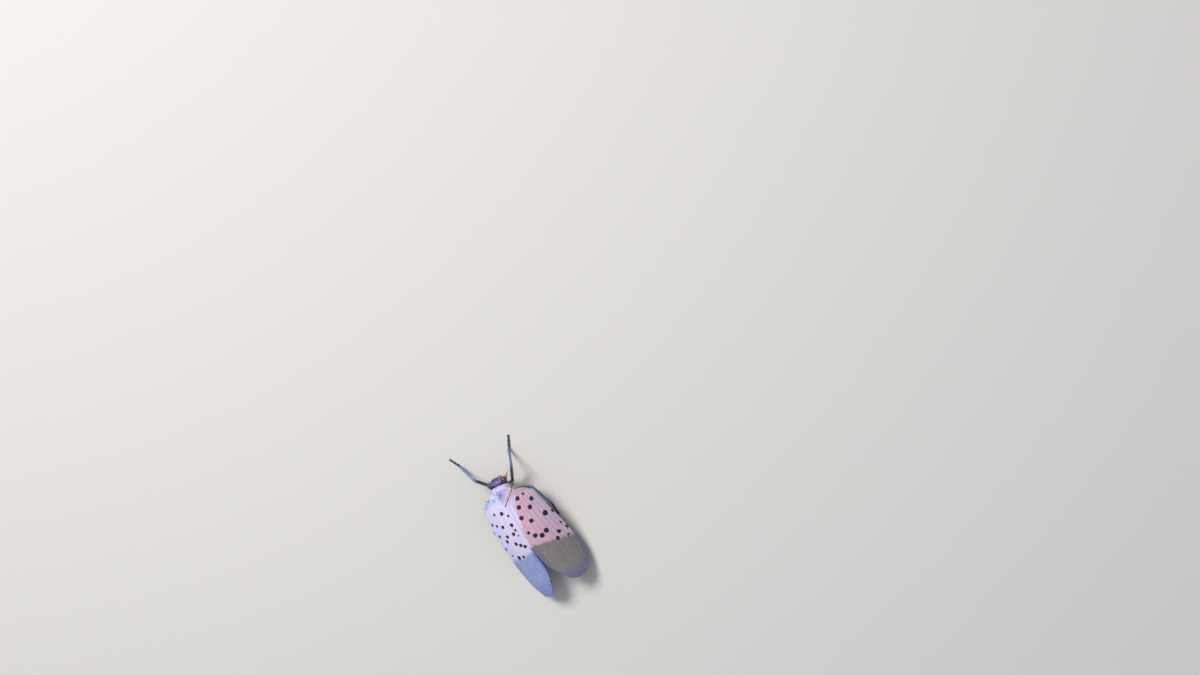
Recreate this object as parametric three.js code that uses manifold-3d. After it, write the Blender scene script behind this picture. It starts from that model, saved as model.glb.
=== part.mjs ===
// A spotted lanternfly, adult female, life size, standing with its wings folded like a roof.
// Millimetres, +Z up, head towards -Y, the animal's left towards +X, soles on Z = 0.

import * as THREE from "three";
import { mergeVertices } from "three/addons/utils/BufferGeometryUtils.js";
import Module from "manifold-3d";

const wasm = await Module();
wasm.setup();

const { clamp, lerp, smoothstep, degToRad } = THREE.MathUtils;

// How the animal stands
const GAP = 0.3; // clear space between neighbouring pieces
const JOINT_GAP = 0.25; // the same at the small leg joints
const BODY_PITCH = degToRad(3.5); // head raised
const BODY_HEIGHT = 5.0; // middle of the thorax above the floor

// Body, in a frame whose origin is the middle of the thorax
const HEAD = { y: -3.72, z: -0.1, halfWidth: 1.45, front: 0.85, back: 0.65, halfHeight: 1.75 };
const EYE = { x: 1.5, y: -3.65, z: 0.6, radius: 0.62 };
const ANTENNA = { x: 1.4, y: -3.82, z: -0.8, radius: 0.4, length: 1.6, way: [0.7, -0.6, -0.4] };
const CLYPEUS = { y: -3.77, z: -1.75, halfWidth: 0.72, depth: 0.6, halfHeight: 1.1 };
const ROSTRUM = { radius: 0.29, length: 6.0, drop: 3.15 };
const COLLAR = { front: -2.7, rear: -1.75, bow: 0.4, bottom: -1.55, keel: 0.14 };
const NECK = { halfWidth: 1.95, top: 1.65 }; // front edge of the collar
const YOKE = { halfWidth: 2.7, top: 2.35 }; // rear edge of the collar
const THORAX = { front: -1.45, rear: 2.6, halfWidth: 2.65, bulge: 0.25, top: 2.05, rearTop: 1.25 };
const SHIELD = { halfWidth: 2.3, tipHalfWidth: 0.12, tip: 0.8, crown: 2.75, side: 2.25, floor: 0.4, keel: 0.16 };
const SHOULDER = { x: 2.7, y: -0.95, z: 1.15, radii: [0.95, 0.5, 0.95] };
const TEGULA = { x: 3.2, y: -1.6, z: 1.6, radii: [0.6, 0.42, 0.26], tilt: degToRad(42) };
const ABDOMEN = { front: 2.9, rear: 12.8, halfWidth: 3.0, halfHeight: 1.95, rings: 7, step: 0.12 };

// Wings: the section across both wings is an arch whose slope grows from the ridge to the edge
const ARCH = { ridgeSlope: degToRad(12), edgeSlope: degToRad(58), span: 8.6 };
const WING_THICK = 0.5;
const WING_PIVOT_X = 2.8;
const FOREWING = { root: -1.15, tipFrom: 0.64, tipRoundness: 0.38, depth: 0 };
const HINDWING = { root: 0.6, tipFrom: 0.66, tipRoundness: 0.5, depth: WING_THICK + GAP };
// Outer edges: arc length at the root, then how much they swell and by how far back
const FORE_EDGE = { root: 3.45, shoulder: 1.9, shoulderBy: 0.6, swell: 3.2, swellBy: 16 };
const HIND_EDGE = { root: 3.5, swell: 2.9, swellBy: 9 };
const HINDWING_FOLDS = 6;
const FOLD_DEPTH = 0.14;
const HIND_TUCK = { always: 0.3, atRoot: 1.6, until: 4 }; // inner edge, in from the forewing's
const VEIN = { halfWidth: 0.18, height: 0.16, mostShare: 0.035 };
const WINGS = { // splay outwards is positive
  left: { side: 1, splay: degToRad(-7.8), forewing: 21.3, hindwing: 14.7 },
  right: { side: -1, splay: degToRad(5.2), forewing: 20.5, hindwing: 14.1 },
};
const SEAM = { half: 0.17, end: 7, gape: degToRad(8) }; // the wings part behind its end

// Legs: socket and hip are in the body frame; ankle and toe are on the floor plan
const SOCKET_RADIUS = 0.62;
const HIP_ROUND = 0.4;
const KNEE_ROUND = 0.33;
const ANKLE_ROUND = 0.26;
const ANKLE_HEIGHT = 0.46;
const SPINE_SHARES = [0.3, 0.46, 0.62, 0.78]; // places of the side spines along the hind shin
const LEGS = {
  fore: {
    socket: [1.15, -2.2, -1.35],
    hip: [1.7, -2.4, -2.75],
    femur: 4.7,
    tibia: 5.7,
    foot: 2.5,
    left: { ankle: [7.2, -9.2], toe: [0.54, -0.84], knee: [-0.25, 0.35, 1] },
    right: { ankle: [-3.2, -8.3], toe: [-0.4, -0.92], knee: [-0.22, 0.4, 1] },
  },
  mid: {
    socket: [1.35, -0.45, -1.55],
    hip: [1.95, -0.6, -2.85],
    femur: 4.3,
    tibia: 6.0,
    foot: 2.5,
    left: { ankle: [5.0, 6.2], toe: [0.1, 0.99], knee: [0.8, -0.3, 0.5] },
    right: { ankle: [-5.95, 4.4], toe: [-0.15, 0.99], knee: [-0.35, -0.5, 0.8] },
  },
  hind: {
    socket: [1.3, 1.6, -1.55],
    hip: [1.9, 1.95, -2.7],
    femur: 5.2,
    tibia: 7.6,
    foot: 3.0,
    left: { ankle: [3.6, 11.6], toe: [0.1, 0.99], knee: [0.9, -0.4, 0.35] },
    right: { ankle: [-5.0, 11.8], toe: [-0.2, 0.98], knee: [-0.9, -0.3, 0.3] },
  },
};

// Finishes
const shell = (color, roughness = 0.55) =>
  new THREE.MeshStandardMaterial({ color, roughness, metalness: 0 });
const MATERIALS = {
  head: shell(0x3a3648),
  eye: shell(0x4a4450, 0.25),
  antenna: shell(0xc8541e, 0.5),
  collar: shell(0xb9a9b8),
  thorax: shell(0x9d90a6),
  abdomen: shell(0xc9a23a),
  forewing: shell(0xcdb6c6, 0.6),
  hindwing: shell(0xb5322c, 0.6),
  leg: shell(0x23232d, 0.4),
};

// Helpers for closed meshes

// The geometry with its faces turned outwards.
function facingOut(geometry) {
  const p = geometry.getAttribute("position");
  const index = geometry.index.array;
  const [a, b, c] = [new THREE.Vector3(), new THREE.Vector3(), new THREE.Vector3()];
  let volume = 0;
  for (let i = 0; i < index.length; i += 3) {
    a.fromBufferAttribute(p, index[i]);
    b.fromBufferAttribute(p, index[i + 1]);
    c.fromBufferAttribute(p, index[i + 2]);
    volume += a.dot(b.cross(c));
  }
  if (volume < 0)
    for (let i = 0; i < index.length; i += 3)
      [index[i + 1], index[i + 2]] = [index[i + 2], index[i + 1]];
  return geometry;
}

function meshOf(points, faces) {
  return facingOut(
    new THREE.BufferGeometry()
      .setAttribute("position", new THREE.Float32BufferAttribute(points.flat(), 3))
      .setIndex(faces),
  );
}

// A tube through rings of points, all of the same count, with a fan on each end.
function loft(rings) {
  const sides = rings[0].length;
  const points = rings.flat();
  const faces = [];
  for (let i = 0; i + 1 < rings.length; i++)
    for (let j = 0; j < sides; j++) {
      const k = (j + 1) % sides;
      const [a, b] = [i * sides + j, i * sides + k];
      faces.push(a, b, a + sides, b, b + sides, a + sides);
    }
  [0, rings.length - 1].forEach((i, end) => {
    const centre = points.length;
    points.push([0, 1, 2].map((n) => rings[i].reduce((sum, q) => sum + q[n], 0) / sides));
    for (let j = 0; j < sides; j++) {
      const [a, b] = [i * sides + j, i * sides + ((j + 1) % sides)];
      faces.push(centre, ...(end ? [a, b] : [b, a]));
    }
  });
  return meshOf(points, faces);
}

// A closed plate between two surfaces over one grid, split into triangles alike on both faces.
function plate(us, vs, top, bottom) {
  const [nu, nv] = [us.length, vs.length];
  const points = [top, bottom].flatMap((face) =>
    us.flatMap((u, i) => vs.map((v, j) => face(u, v, i, j))),
  );
  const low = nu * nv;
  const faces = [];
  for (let i = 0; i + 1 < nu; i++)
    for (let j = 0; j + 1 < nv; j++) {
      const a = i * nv + j;
      const [b, c, d] = [a + 1, a + nv, a + nv + 1];
      faces.push(a, b, c, b, d, c);
      faces.push(a + low, c + low, b + low, b + low, c + low, d + low);
    }
  const rim = [
    ...vs.map((_, j) => j),
    ...us.slice(1).map((_, i) => (i + 1) * nv + nv - 1),
    ...vs.slice(1).map((_, j) => low - 2 - j),
    ...us.slice(1, -1).map((_, i) => (nu - 2 - i) * nv),
  ];
  rim.forEach((a, n) => {
    const b = rim[(n + 1) % rim.length];
    faces.push(b, a, a + low, b, a + low, b + low);
  });
  return meshOf(points, faces);
}

const steps = (count, from = 0, to = 1) =>
  Array.from({ length: count + 1 }, (_, i) => lerp(from, to, i / count));

// An upright ring across the body at one station.
function ringAt(sides, ringPoint) {
  return steps(sides)
    .slice(0, -1)
    .map((turn) => ringPoint(Math.cos(2 * Math.PI * turn), Math.sin(2 * Math.PI * turn)));
}

function ball(x, y, z, radii, columns = 14, rows = 10) {
  const [rx, ry, rz] = [radii].flat().length === 3 ? radii : [radii, radii, radii];
  return new THREE.SphereGeometry(1, columns, rows).scale(rx, ry, rz).translate(x, y, z);
}

function solidOf(geometry) {
  const bare = new THREE.BufferGeometry()
    .setAttribute("position", geometry.getAttribute("position"))
    .setIndex(geometry.index);
  const merged = mergeVertices(bare, 1e-4);
  return new wasm.Manifold(
    new wasm.Mesh({
      numProp: 3,
      vertProperties: new Float32Array(merged.getAttribute("position").array),
      triVerts: new Uint32Array(merged.index.array),
    }),
  );
}

// The largest closed body of a boolean result, as a geometry again.
function geometryOf(solid) {
  const bodies = solid.decompose();
  const largest = bodies.reduce((a, b) => (a.volume() > b.volume() ? a : b));
  const mesh = largest.getMesh();
  return new THREE.BufferGeometry()
    .setAttribute("position", new THREE.BufferAttribute(mesh.vertProperties, 3))
    .setIndex(new THREE.BufferAttribute(mesh.triVerts, 1));
}

const join = (...geometries) =>
  geometryOf(geometries.map(solidOf).reduce((sum, next) => sum.add(next)));
const cut = (geometry, ...cutters) =>
  geometryOf(cutters.map(solidOf).reduce((rest, next) => rest.subtract(next), solidOf(geometry)));

// Body group: it carries every piece that is placed in the body frame
const animal = new THREE.Group();
const body = new THREE.Group();
body.rotation.x = -BODY_PITCH;
body.position.z = BODY_HEIGHT;
animal.add(body);

function place(group, name, geometry, material) {
  const mesh = new THREE.Mesh(geometry, material);
  mesh.name = name;
  group.add(mesh);
}

const SIDES = [
  ["left", 1],
  ["right", -1],
];

// Wings

// The place across the arch at arc length w from the ridge, and its outward normal.
const ARCH_TURN = (ARCH.edgeSlope - ARCH.ridgeSlope) / ARCH.span;
function arch(w) {
  const slope = ARCH.ridgeSlope + ARCH_TURN * w;
  return {
    x: (Math.sin(slope) - Math.sin(ARCH.ridgeSlope)) / ARCH_TURN,
    drop: (Math.cos(ARCH.ridgeSlope) - Math.cos(slope)) / ARCH_TURN,
    normal: [Math.sin(slope), Math.cos(slope)],
  };
}

// The arc length of the place on the arch that is x from the middle of the body.
const arcAt = (x) =>
  (Math.asin(Math.sin(ARCH.ridgeSlope) + ARCH_TURN * x) - ARCH.ridgeSlope) / ARCH_TURN;

const ridgeHeight = (y) =>
  2.95 + 0.45 * Math.sin((Math.PI * y) / 12) - 0.004 * Math.max(0, y - 6) ** 2;

// The body point at (y, w) on one side's wing, raised by lift along the arch's normal.
function wingPoint({ side, splay }, y, w, lift) {
  const { x, drop, normal } = arch(w);
  const out = x + normal[0] * lift - WING_PIVOT_X;
  const back = y - FOREWING.root;
  return [
    side * (WING_PIVOT_X + out * Math.cos(splay) + back * Math.sin(splay)),
    FOREWING.root + back * Math.cos(splay) - out * Math.sin(splay),
    ridgeHeight(clamp(y, 0, 20)) - drop + normal[1] * lift,
  ];
}

// How far the shield reaches to each side at y, 0 behind its tip.
function shieldHalfWidth(y) {
  if (y > SHIELD.tip) return 0;
  const f = clamp((y - THORAX.front) / (SHIELD.tip - THORAX.front), 0, 1);
  return SHIELD.tipHalfWidth + (SHIELD.halfWidth - SHIELD.tipHalfWidth) * (1 - f ** 1.3);
}

// Arc length from the ridge of a forewing's inner edge: it follows the shield, then the middle
// of the body. Behind the seam's end the left wing stays there and the right wing opens, whose
// splay is the positive one.
function innerEdge(y, splay) {
  const back = y - FOREWING.root;
  const met = Math.min(back, SEAM.end - FOREWING.root);
  const beside = Math.max(SEAM.half, shieldHalfWidth(y) + GAP * (y < SHIELD.tip));
  return arcAt(beside - met * Math.tan(splay) + (back - met) * Math.tan(splay > 0 ? SEAM.gape : 0));
}

const swellAt = (edge, back) =>
  edge.swell * Math.sin((Math.PI / 2) * clamp(back / edge.swellBy, 0, 1));

// Inner and outer edge of each wing as arc lengths from the ridge.
function forewingEdges(y, splay) {
  const back = y - FOREWING.root;
  const shoulder = FORE_EDGE.shoulder * (1 - Math.exp(-back / FORE_EDGE.shoulderBy));
  return {
    inner: innerEdge(y, splay),
    outer: FORE_EDGE.root + shoulder + swellAt(FORE_EDGE, back),
  };
}

function hindwingEdges(y, splay) {
  const back = y - HINDWING.root;
  return {
    inner:
      innerEdge(y, splay) +
      HIND_TUCK.always +
      HIND_TUCK.atRoot * clamp(1 - back / HIND_TUCK.until, 0, 1),
    outer: HIND_EDGE.root + swellAt(HIND_EDGE, back),
  };
}

// Where the share (s along, t across) of a wing lies: y along the body and w across the arch.
// Behind tipFrom, along and across draw each other in, which rounds the tip.
function wingPlan(wing, length, edges, splay, s, t) {
  const tipStart = wing.root + length * wing.tipFrom;
  const { inner, outer } = edges(Math.min(wing.root + length * s, tipStart), splay);
  if (s < wing.tipFrom) return { y: wing.root + length * s, w: lerp(inner, outer, t) };
  const along = (s - wing.tipFrom) / (1 - wing.tipFrom);
  const across = 2 * t - 1;
  const drift = edges(tipStart + 1, splay).inner - edges(tipStart, splay).inner;
  const lean = drift * length * (s - wing.tipFrom);
  const reach = along * Math.sqrt(1 - wing.tipRoundness * across ** 2);
  const width = across * Math.sqrt(1 - wing.tipRoundness * along ** 2);
  return {
    y: tipStart + length * (1 - wing.tipFrom) * reach,
    w: (inner + outer + lean) / 2 + ((outer - inner) / 2) * width,
  };
}

// Main veins of the forewing: share of the width, the stem each leaves and where it leaves it.
const FOREWING_VEINS = [
  { at: 0.09 },
  { at: 0.21 },
  { at: 0.33, stem: 0.36, fork: 0.3 },
  { at: 0.45 },
  { at: 0.57, stem: 0.59, fork: 0.22 },
  { at: 0.69 },
  { at: 0.8, stem: 0.82, fork: 0.12 },
  { at: 0.91 },
];
const CROSS_VEINS = [0.55, 0.93]; // where the net of small cells starts, and one by the tip

function veinShare(vein, s) {
  if (!vein.stem) return vein.at;
  return lerp(vein.stem, vein.at, smoothstep(s, vein.fork, vein.fork + 0.2));
}

// Columns of the forewing's grid: each vein is a crest between two feet.
const forewingColumns = [
  () => 0,
  ...FOREWING_VEINS.flatMap((vein) =>
    [-1, 0, 1].map((foot) => (s, width) => {
      const half = Math.min(VEIN.halfWidth / width, VEIN.mostShare);
      return veinShare(vein, s) + foot * half;
    }),
  ),
  () => 0.97,
  () => 1,
];

function forewingVeinHeight(column, s) {
  if (column === forewingColumns.length - 1) return VEIN.height * 0.7;
  const vein = FOREWING_VEINS[Math.floor((column - 1) / 3)];
  if (!vein || column % 3 !== 2) return 0;
  const from = vein.stem ? vein.fork - 0.01 : 0.01;
  const rise = smoothstep(s, from, from + 0.06);
  return VEIN.height * rise * (1 - smoothstep(s, 0.95, 1));
}

const FOREWING_ROWS = [
  ...[0, 0.025, 0.05, 0.075, 0.1, 0.14, 0.2, 0.27, 0.34, 0.41, 0.48],
  ...CROSS_VEINS.slice(0, 1).flatMap((s) => [s - 0.012, s, s + 0.012]),
  ...[0.62, 0.68, 0.74, 0.8, 0.87],
  ...CROSS_VEINS.slice(1).flatMap((s) => [s - 0.012, s, s + 0.012]),
  ...[0.975, 1],
];

// Width of the forewing at s, on which the feet of a vein are spaced.
function forewingWidth(s, length) {
  const y = FOREWING.root + length * Math.min(s, FOREWING.tipFrom);
  const { inner, outer } = forewingEdges(y, 0);
  return outer - inner;
}

function forewing(wing) {
  const point = (s, column, lift) => {
    const t = forewingColumns[column](s, forewingWidth(s, wing.forewing));
    const { y, w } = wingPlan(FOREWING, wing.forewing, forewingEdges, wing.splay, s, t);
    return wingPoint(wing, y, w, lift);
  };
  const crossHeight = (s) => (CROSS_VEINS.includes(s) ? VEIN.height * 0.75 : 0);
  const crest = (s, column) => Math.max(forewingVeinHeight(column, s), crossHeight(s));
  return plate(
    FOREWING_ROWS,
    forewingColumns.map((_, column) => column),
    (s, column) => point(s, column, WING_THICK / 2 + crest(s, column)),
    (s, column) => point(s, column, -WING_THICK / 2),
  );
}

// The front half of a wing grown by the gap on every face, to cut its neighbours clear.
function wingSpace(shape, length, edges, wing) {
  const half = WING_THICK / 2 + GAP;
  const below = half + (shape === HINDWING ? FOLD_DEPTH : 0);
  const point = (s, t, lift) => {
    const { y, w } = wingPlan(shape, length, edges, wing.splay, s, t);
    return wingPoint(wing, y - GAP * (s === 0), w + GAP * (2 * t - 1), lift - shape.depth);
  };
  return plate(
    [0, 0.03, 0.06, 0.09, 0.15, 0.3, 0.45, 0.65],
    [0, 0.2, 0.4, 0.6, 0.8, 1],
    (s, t) => point(s, t, half + VEIN.height * 0.5),
    (s, t) => point(s, t, -below),
  );
}

// The folded hindwing lies under the forewing, with its fan folds as furrows.
function hindwing(wing) {
  const point = (s, t, j, lift) => {
    const { y, w } = wingPlan(HINDWING, wing.hindwing, hindwingEdges, wing.splay, s, t);
    const furrow = (j % 2) * FOLD_DEPTH * smoothstep(s, 0, 0.2);
    return wingPoint(wing, y, w, lift - HINDWING.depth - furrow);
  };
  return plate(
    [0, 0.06, 0.14, 0.26, 0.4, 0.54, 0.66, 0.78, 0.88, 0.95, 1],
    steps(2 * HINDWING_FOLDS),
    (s, t, i, j) => point(s, t, j, WING_THICK / 2),
    (s, t, i, j) => point(s, t, j, -WING_THICK / 2),
  );
}

for (const [name, wing] of Object.entries(WINGS)) {
  place(body, `forewing_${name}`, forewing(wing), MATERIALS.forewing);
  place(body, `hindwing_${name}`, hindwing(wing), MATERIALS.hindwing);
}
const wingSpaces = Object.values(WINGS).flatMap((wing) => [
  wingSpace(FOREWING, wing.forewing, forewingEdges, wing),
  wingSpace(HINDWING, wing.hindwing, hindwingEdges, wing),
]);

// Head, with eyes and antennae in sockets of their own

// The face is flat between two ridges, and narrows towards the mouth.
function headCapsule() {
  const geometry = new THREE.SphereGeometry(1, 22, 14);
  const p = geometry.getAttribute("position");
  for (let i = 0; i < p.count; i++) {
    const [nx, ny, nz] = [p.getX(i), p.getZ(i), p.getY(i)];
    const low = Math.max(0, -nz);
    const x = HEAD.halfWidth * nx * (1 - 0.42 * low ** 2);
    const facing = smoothstep(-ny, 0.05, 0.4) * (1 - low ** 2);
    const ridge = Math.exp(-(((Math.abs(nx) - 0.6) / 0.12) ** 2)) * facing;
    const flat = ny < 0 ? HEAD.front * -(Math.abs(ny) ** 0.7) - 0.13 * ridge : HEAD.back * ny ** 0.6;
    const brow = 0.16 * Math.exp(-((nx / 0.3) ** 2)) * Math.max(0, nz);
    p.setXYZ(i, x, HEAD.y + flat + 0.35 * low, HEAD.z + HEAD.halfHeight * nz - brow);
  }
  return facingOut(geometry);
}

const clypeus = ball(0, 0, 0, [CLYPEUS.halfWidth, CLYPEUS.depth, CLYPEUS.halfHeight], 12, 10)
  .rotateX(degToRad(-14))
  .translate(0, CLYPEUS.y, CLYPEUS.z);

const rostrumStart = [0, CLYPEUS.y + 0.45, CLYPEUS.z - CLYPEUS.halfHeight];
const rostrumJoint = ball(...rostrumStart, ROSTRUM.radius + JOINT_GAP, 10, 6);
const eyes = {};
const antennae = {};
for (const [name, side] of SIDES) {
  eyes[name] = [side * EYE.x, EYE.y, EYE.z];
  antennae[name] = [side * ANTENNA.x, ANTENNA.y, ANTENNA.z];
}
const headSockets = Object.values(eyes)
  .map((at) => ball(...at, EYE.radius + JOINT_GAP, 12, 8))
  .concat(Object.values(antennae).map((at) => ball(...at, ANTENNA.radius + JOINT_GAP, 10, 6)));
place(body, "head", cut(join(headCapsule(), clypeus), rostrumJoint, ...headSockets), MATERIALS.head);

// The round base carries a thin bristle that points outwards and forwards.
function antenna(at, side) {
  const [base, knob] = [new THREE.Vector3(...at), ANTENNA.radius];
  const way = new THREE.Vector3(side * ANTENNA.way[0], ...ANTENNA.way.slice(1)).normalize();
  const tip = base.clone().addScaledVector(way, ANTENNA.length);
  const bristle = [
    [0.1, 0.3],
    [knob + 0.1, 0.27],
    [ANTENNA.length * 0.6, 0.2],
    [ANTENNA.length, 0.1],
  ];
  return join(
    ball(...at, knob, 12, 8),
    limb(base, tip, bristle.map(([along, r]) => [along, r, r]), 6),
  );
}

for (const [name, side] of SIDES) {
  place(body, `eye_${name}`, ball(...eyes[name], EYE.radius, 16, 10), MATERIALS.eye);
  place(body, `antenna_${name}`, antenna(antennae[name], side), MATERIALS.antenna);
}

// A straight limb: rings of [distance along, half width, half height] round the line.
function limb(from, to, stations, sides = 8, up = new THREE.Vector3(0, 0, 1)) {
  const along = to.clone().sub(from).normalize();
  const across = new THREE.Vector3().crossVectors(along, up).normalize();
  const high = new THREE.Vector3().crossVectors(across, along);
  return loft(
    stations.map(([distance, halfWidth, halfHeight]) =>
      ringAt(sides, (c, s) =>
        from
          .clone()
          .addScaledVector(along, distance)
          .addScaledVector(across, c * halfWidth)
          .addScaledVector(high, s * halfHeight)
          .toArray(),
      ),
    ),
  );
}

// Stations of a round end of radius r, centred on the start of a limb.
const roundEnd = (r) =>
  [80, 50, 20].map(degToRad).map((a) => [-r * Math.sin(a), r * Math.cos(a), r * Math.cos(a)]);

// The beak lies back between the coxae.
function rostrum() {
  const from = new THREE.Vector3(...rostrumStart);
  const to = new THREE.Vector3(0, rostrumStart[1] + ROSTRUM.length, -ROSTRUM.drop);
  const r = ROSTRUM.radius;
  const length = from.distanceTo(to);
  return limb(from, to, [
    ...roundEnd(r),
    [length * 0.3, r * 1.1, r],
    [length * 0.62, r, r * 0.9],
    [length * 0.66, r * 1.1, r],
    [length * 0.92, r * 0.85, r * 0.8],
    [length, r * 0.4, r * 0.4],
  ]);
}
place(body, "rostrum", rostrum(), MATERIALS.head);

// Pronotum: a collar that bows forwards along the middle of the back
const collarBow = (x, z) =>
  COLLAR.bow * clamp(1 - (x / YOKE.halfWidth) ** 2, 0, 1) * smoothstep(z, 0, 1.6);

function collar() {
  return loft(
    steps(5).map((f) => {
      const round = Math.sin(Math.PI * clamp(f, 0.06, 0.94));
      const wide = lerp(NECK.halfWidth, YOKE.halfWidth, f ** 0.7) - 0.1 + 0.1 * round;
      const top = lerp(NECK.top, YOKE.top, f);
      const bottom = COLLAR.bottom - 0.2 * round;
      return ringAt(24, (c, s) => {
        const keel = s > 0 ? COLLAR.keel * Math.exp(-((c / 0.12) ** 2)) : 0;
        const x = wide * Math.sign(c) * Math.abs(c) ** 0.85;
        const z = s > 0 ? top * s ** 0.9 + keel : bottom * Math.abs(s) ** 0.9;
        return [x, lerp(COLLAR.front, COLLAR.rear, f) - collarBow(x, z), z];
      });
    }),
  );
}

// Thorax with its shield, shoulders, wing roots and leg sockets
function thoraxBlock() {
  const shape = (f) => [
    THORAX.halfWidth + THORAX.bulge * Math.sin(Math.PI * f),
    lerp(THORAX.top, THORAX.rearTop, smoothstep(f, 0, 1)),
    COLLAR.bottom - 0.15 - THORAX.bulge * Math.sin(Math.PI * f),
  ];
  return loft(
    steps(6).map((f) => {
      const [wide, top, bottom] = shape(f);
      return ringAt(22, (c, s) => {
        const [x, z] = [wide * c, s > 0 ? top * s : bottom * -s];
        return [x, lerp(THORAX.front, THORAX.rear, f) - collarBow(x, z) * (1 - f), z];
      });
    }),
  );
}

// The shield is a low dome with three keels that narrows to a point between the wings.
function shield() {
  const across = steps(12, -1, 1);
  const shieldY = (f, x, z) => lerp(THORAX.front - collarBow(x, z), SHIELD.tip, f);
  const surface = (f, g, i, j) => {
    const x = shieldHalfWidth(lerp(THORAX.front, SHIELD.tip, f)) * g;
    const y = shieldY(f, x, SHIELD.side);
    const keel = [2, 6, 10].includes(j) ? SHIELD.keel * (1 - f ** 3) : 0;
    const fall = (SHIELD.crown - SHIELD.side) * (x / SHIELD.halfWidth) ** 2 + 0.35 * f ** 3;
    return [x, y, SHIELD.crown - fall + keel];
  };
  const floor = (f, g, i, j) => {
    const [x] = surface(f, g, i, j);
    return [x, shieldY(f, x, SHIELD.floor), SHIELD.floor];
  };
  return plate([0, 0.06, 0.2, 0.4, 0.6, 0.8, 0.92, 1], across, surface, floor);
}

const shoulderOf = (side) => ball(side * SHOULDER.x, SHOULDER.y, SHOULDER.z, SHOULDER.radii, 12, 8);
const tegulaOf = (side, extra = 0) =>
  ball(0, 0, 0, TEGULA.radii.map((r) => r + extra), 12, 8)
    .rotateY(side * TEGULA.tilt)
    .translate(side * TEGULA.x, TEGULA.y, TEGULA.z);

const legSockets = Object.values(LEGS).flatMap(({ socket: [x, y, z] }) =>
  SIDES.map(([, side]) => ball(side * x, y, z, SOCKET_RADIUS + JOINT_GAP, 10, 6)),
);

place(body, "pronotum", cut(collar(), ...legSockets), MATERIALS.collar);
place(
  body,
  "thorax",
  cut(
    join(thoraxBlock(), shield(), shoulderOf(1), shoulderOf(-1)),
    ...wingSpaces,
    ...legSockets,
    ...SIDES.map(([, side]) => tegulaOf(side, JOINT_GAP)),
  ),
  MATERIALS.thorax,
);
for (const [name, side] of SIDES)
  place(body, `tegula_${name}`, cut(tegulaOf(side), ...wingSpaces), MATERIALS.collar);

// Abdomen: each ring ends in a lip that overhangs the next
function abdomen() {
  const stations = steps(ABDOMEN.rings).slice(0, -1).flatMap((f) => [
    [f, 0],
    [f + 0.8 / ABDOMEN.rings, ABDOMEN.step * 0.5],
    [f + 0.97 / ABDOMEN.rings, ABDOMEN.step],
  ]);
  return loft(
    stations.map(([f, lip]) => {
      const taper = Math.sqrt(1 - (0.985 * f) ** 2.4) * smoothstep(f + 0.25, 0, 0.5) ** 0.25;
      const [wide, high] = [ABDOMEN.halfWidth * taper + lip, ABDOMEN.halfHeight * taper + lip];
      const middle = -0.42 - 0.35 * f ** 2;
      return ringAt(22, (c, s) => [wide * c, lerp(ABDOMEN.front, ABDOMEN.rear, f), middle + high * s]);
    }),
  );
}
place(body, "abdomen", cut(abdomen(), ...wingSpaces), MATERIALS.abdomen);

// Legs
body.updateMatrix();
const inWorld = (side, [x, y, z]) => new THREE.Vector3(side * x, y, z).applyMatrix4(body.matrix);

// The knee of a leg whose hip, ankle and two lengths are known, bent towards a given way.
function kneeOf(hip, ankle, femur, tibia, way) {
  const line = ankle.clone().sub(hip);
  const reach = line.length();
  const along = (femur ** 2 - tibia ** 2 + reach ** 2) / (2 * reach);
  const out = Math.sqrt(femur ** 2 - along ** 2);
  line.normalize();
  const bend = new THREE.Vector3(...way);
  bend.addScaledVector(line, -bend.dot(line)).normalize();
  return hip.clone().addScaledVector(line, along).addScaledVector(bend, out);
}

// Foot: three joints and two claws along the floor, with a flat sole at Z = 0.
function foot(ankle, toeWay, length) {
  const way = new THREE.Vector3(toeWay[0], toeWay[1], 0).normalize();
  const across = new THREE.Vector3(-way.y, way.x, 0);
  // distance from the ankle, half width, height of the middle, half height
  const stations = [
    [-0.24, 0.1, ANKLE_HEIGHT, 0.12],
    [-0.1, 0.24, ANKLE_HEIGHT, 0.25],
    [0.3, 0.26, 0.3, 0.27],
    [length * 0.4, 0.31, 0.2, 0.3],
    [length * 0.44, 0.25, 0.17, 0.26],
    [length * 0.6, 0.31, 0.2, 0.3],
    [length * 0.64, 0.25, 0.17, 0.25],
    [length * 0.88, 0.3, 0.18, 0.27],
    [length * 0.97, 0.22, 0.14, 0.2],
  ];
  const pads = loft(
    stations.map(([along, halfWidth, middle, halfHeight]) =>
      ringAt(8, (c, s) => {
        const point = ankle.clone().addScaledVector(way, along).addScaledVector(across, c * halfWidth);
        return [point.x, point.y, Math.max(0, middle + s * halfHeight)];
      }),
    ),
  );
  const claws = [1, -1].map((turn) => {
    const root = ankle.clone().addScaledVector(way, length * 0.84).setZ(0.26);
    const tip = ankle
      .clone()
      .addScaledVector(way, length * 1.06)
      .addScaledVector(across, turn * 0.34)
      .setZ(0.14);
    const reach = root.distanceTo(tip);
    return limb(root, tip, [[0, 0.2, 0.18], [reach * 0.6, 0.17, 0.15], [reach, 0.08, 0.06]], 6);
  });
  return join(pads, ...claws);
}

// Side spines of the hind shin, in a row that grows longer towards the foot.
function shinSpines(knee, ankle, outward) {
  const along = ankle.clone().sub(knee);
  const length = along.length();
  along.normalize();
  const away = outward.clone().addScaledVector(along, -outward.dot(along)).normalize();
  return SPINE_SHARES.map((share) => {
    const root = knee.clone().addScaledVector(along, length * share);
    const reach = 0.62 + 0.25 * share;
    const tip = root.clone().addScaledVector(away, reach).addScaledVector(along, 0.3);
    const stations = [[0.05, 0.24, 0.24], [reach * 0.7, 0.15, 0.15], [reach * 1.05, 0.04, 0.04]];
    return limb(root, tip, stations, 6);
  });
}

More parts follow.
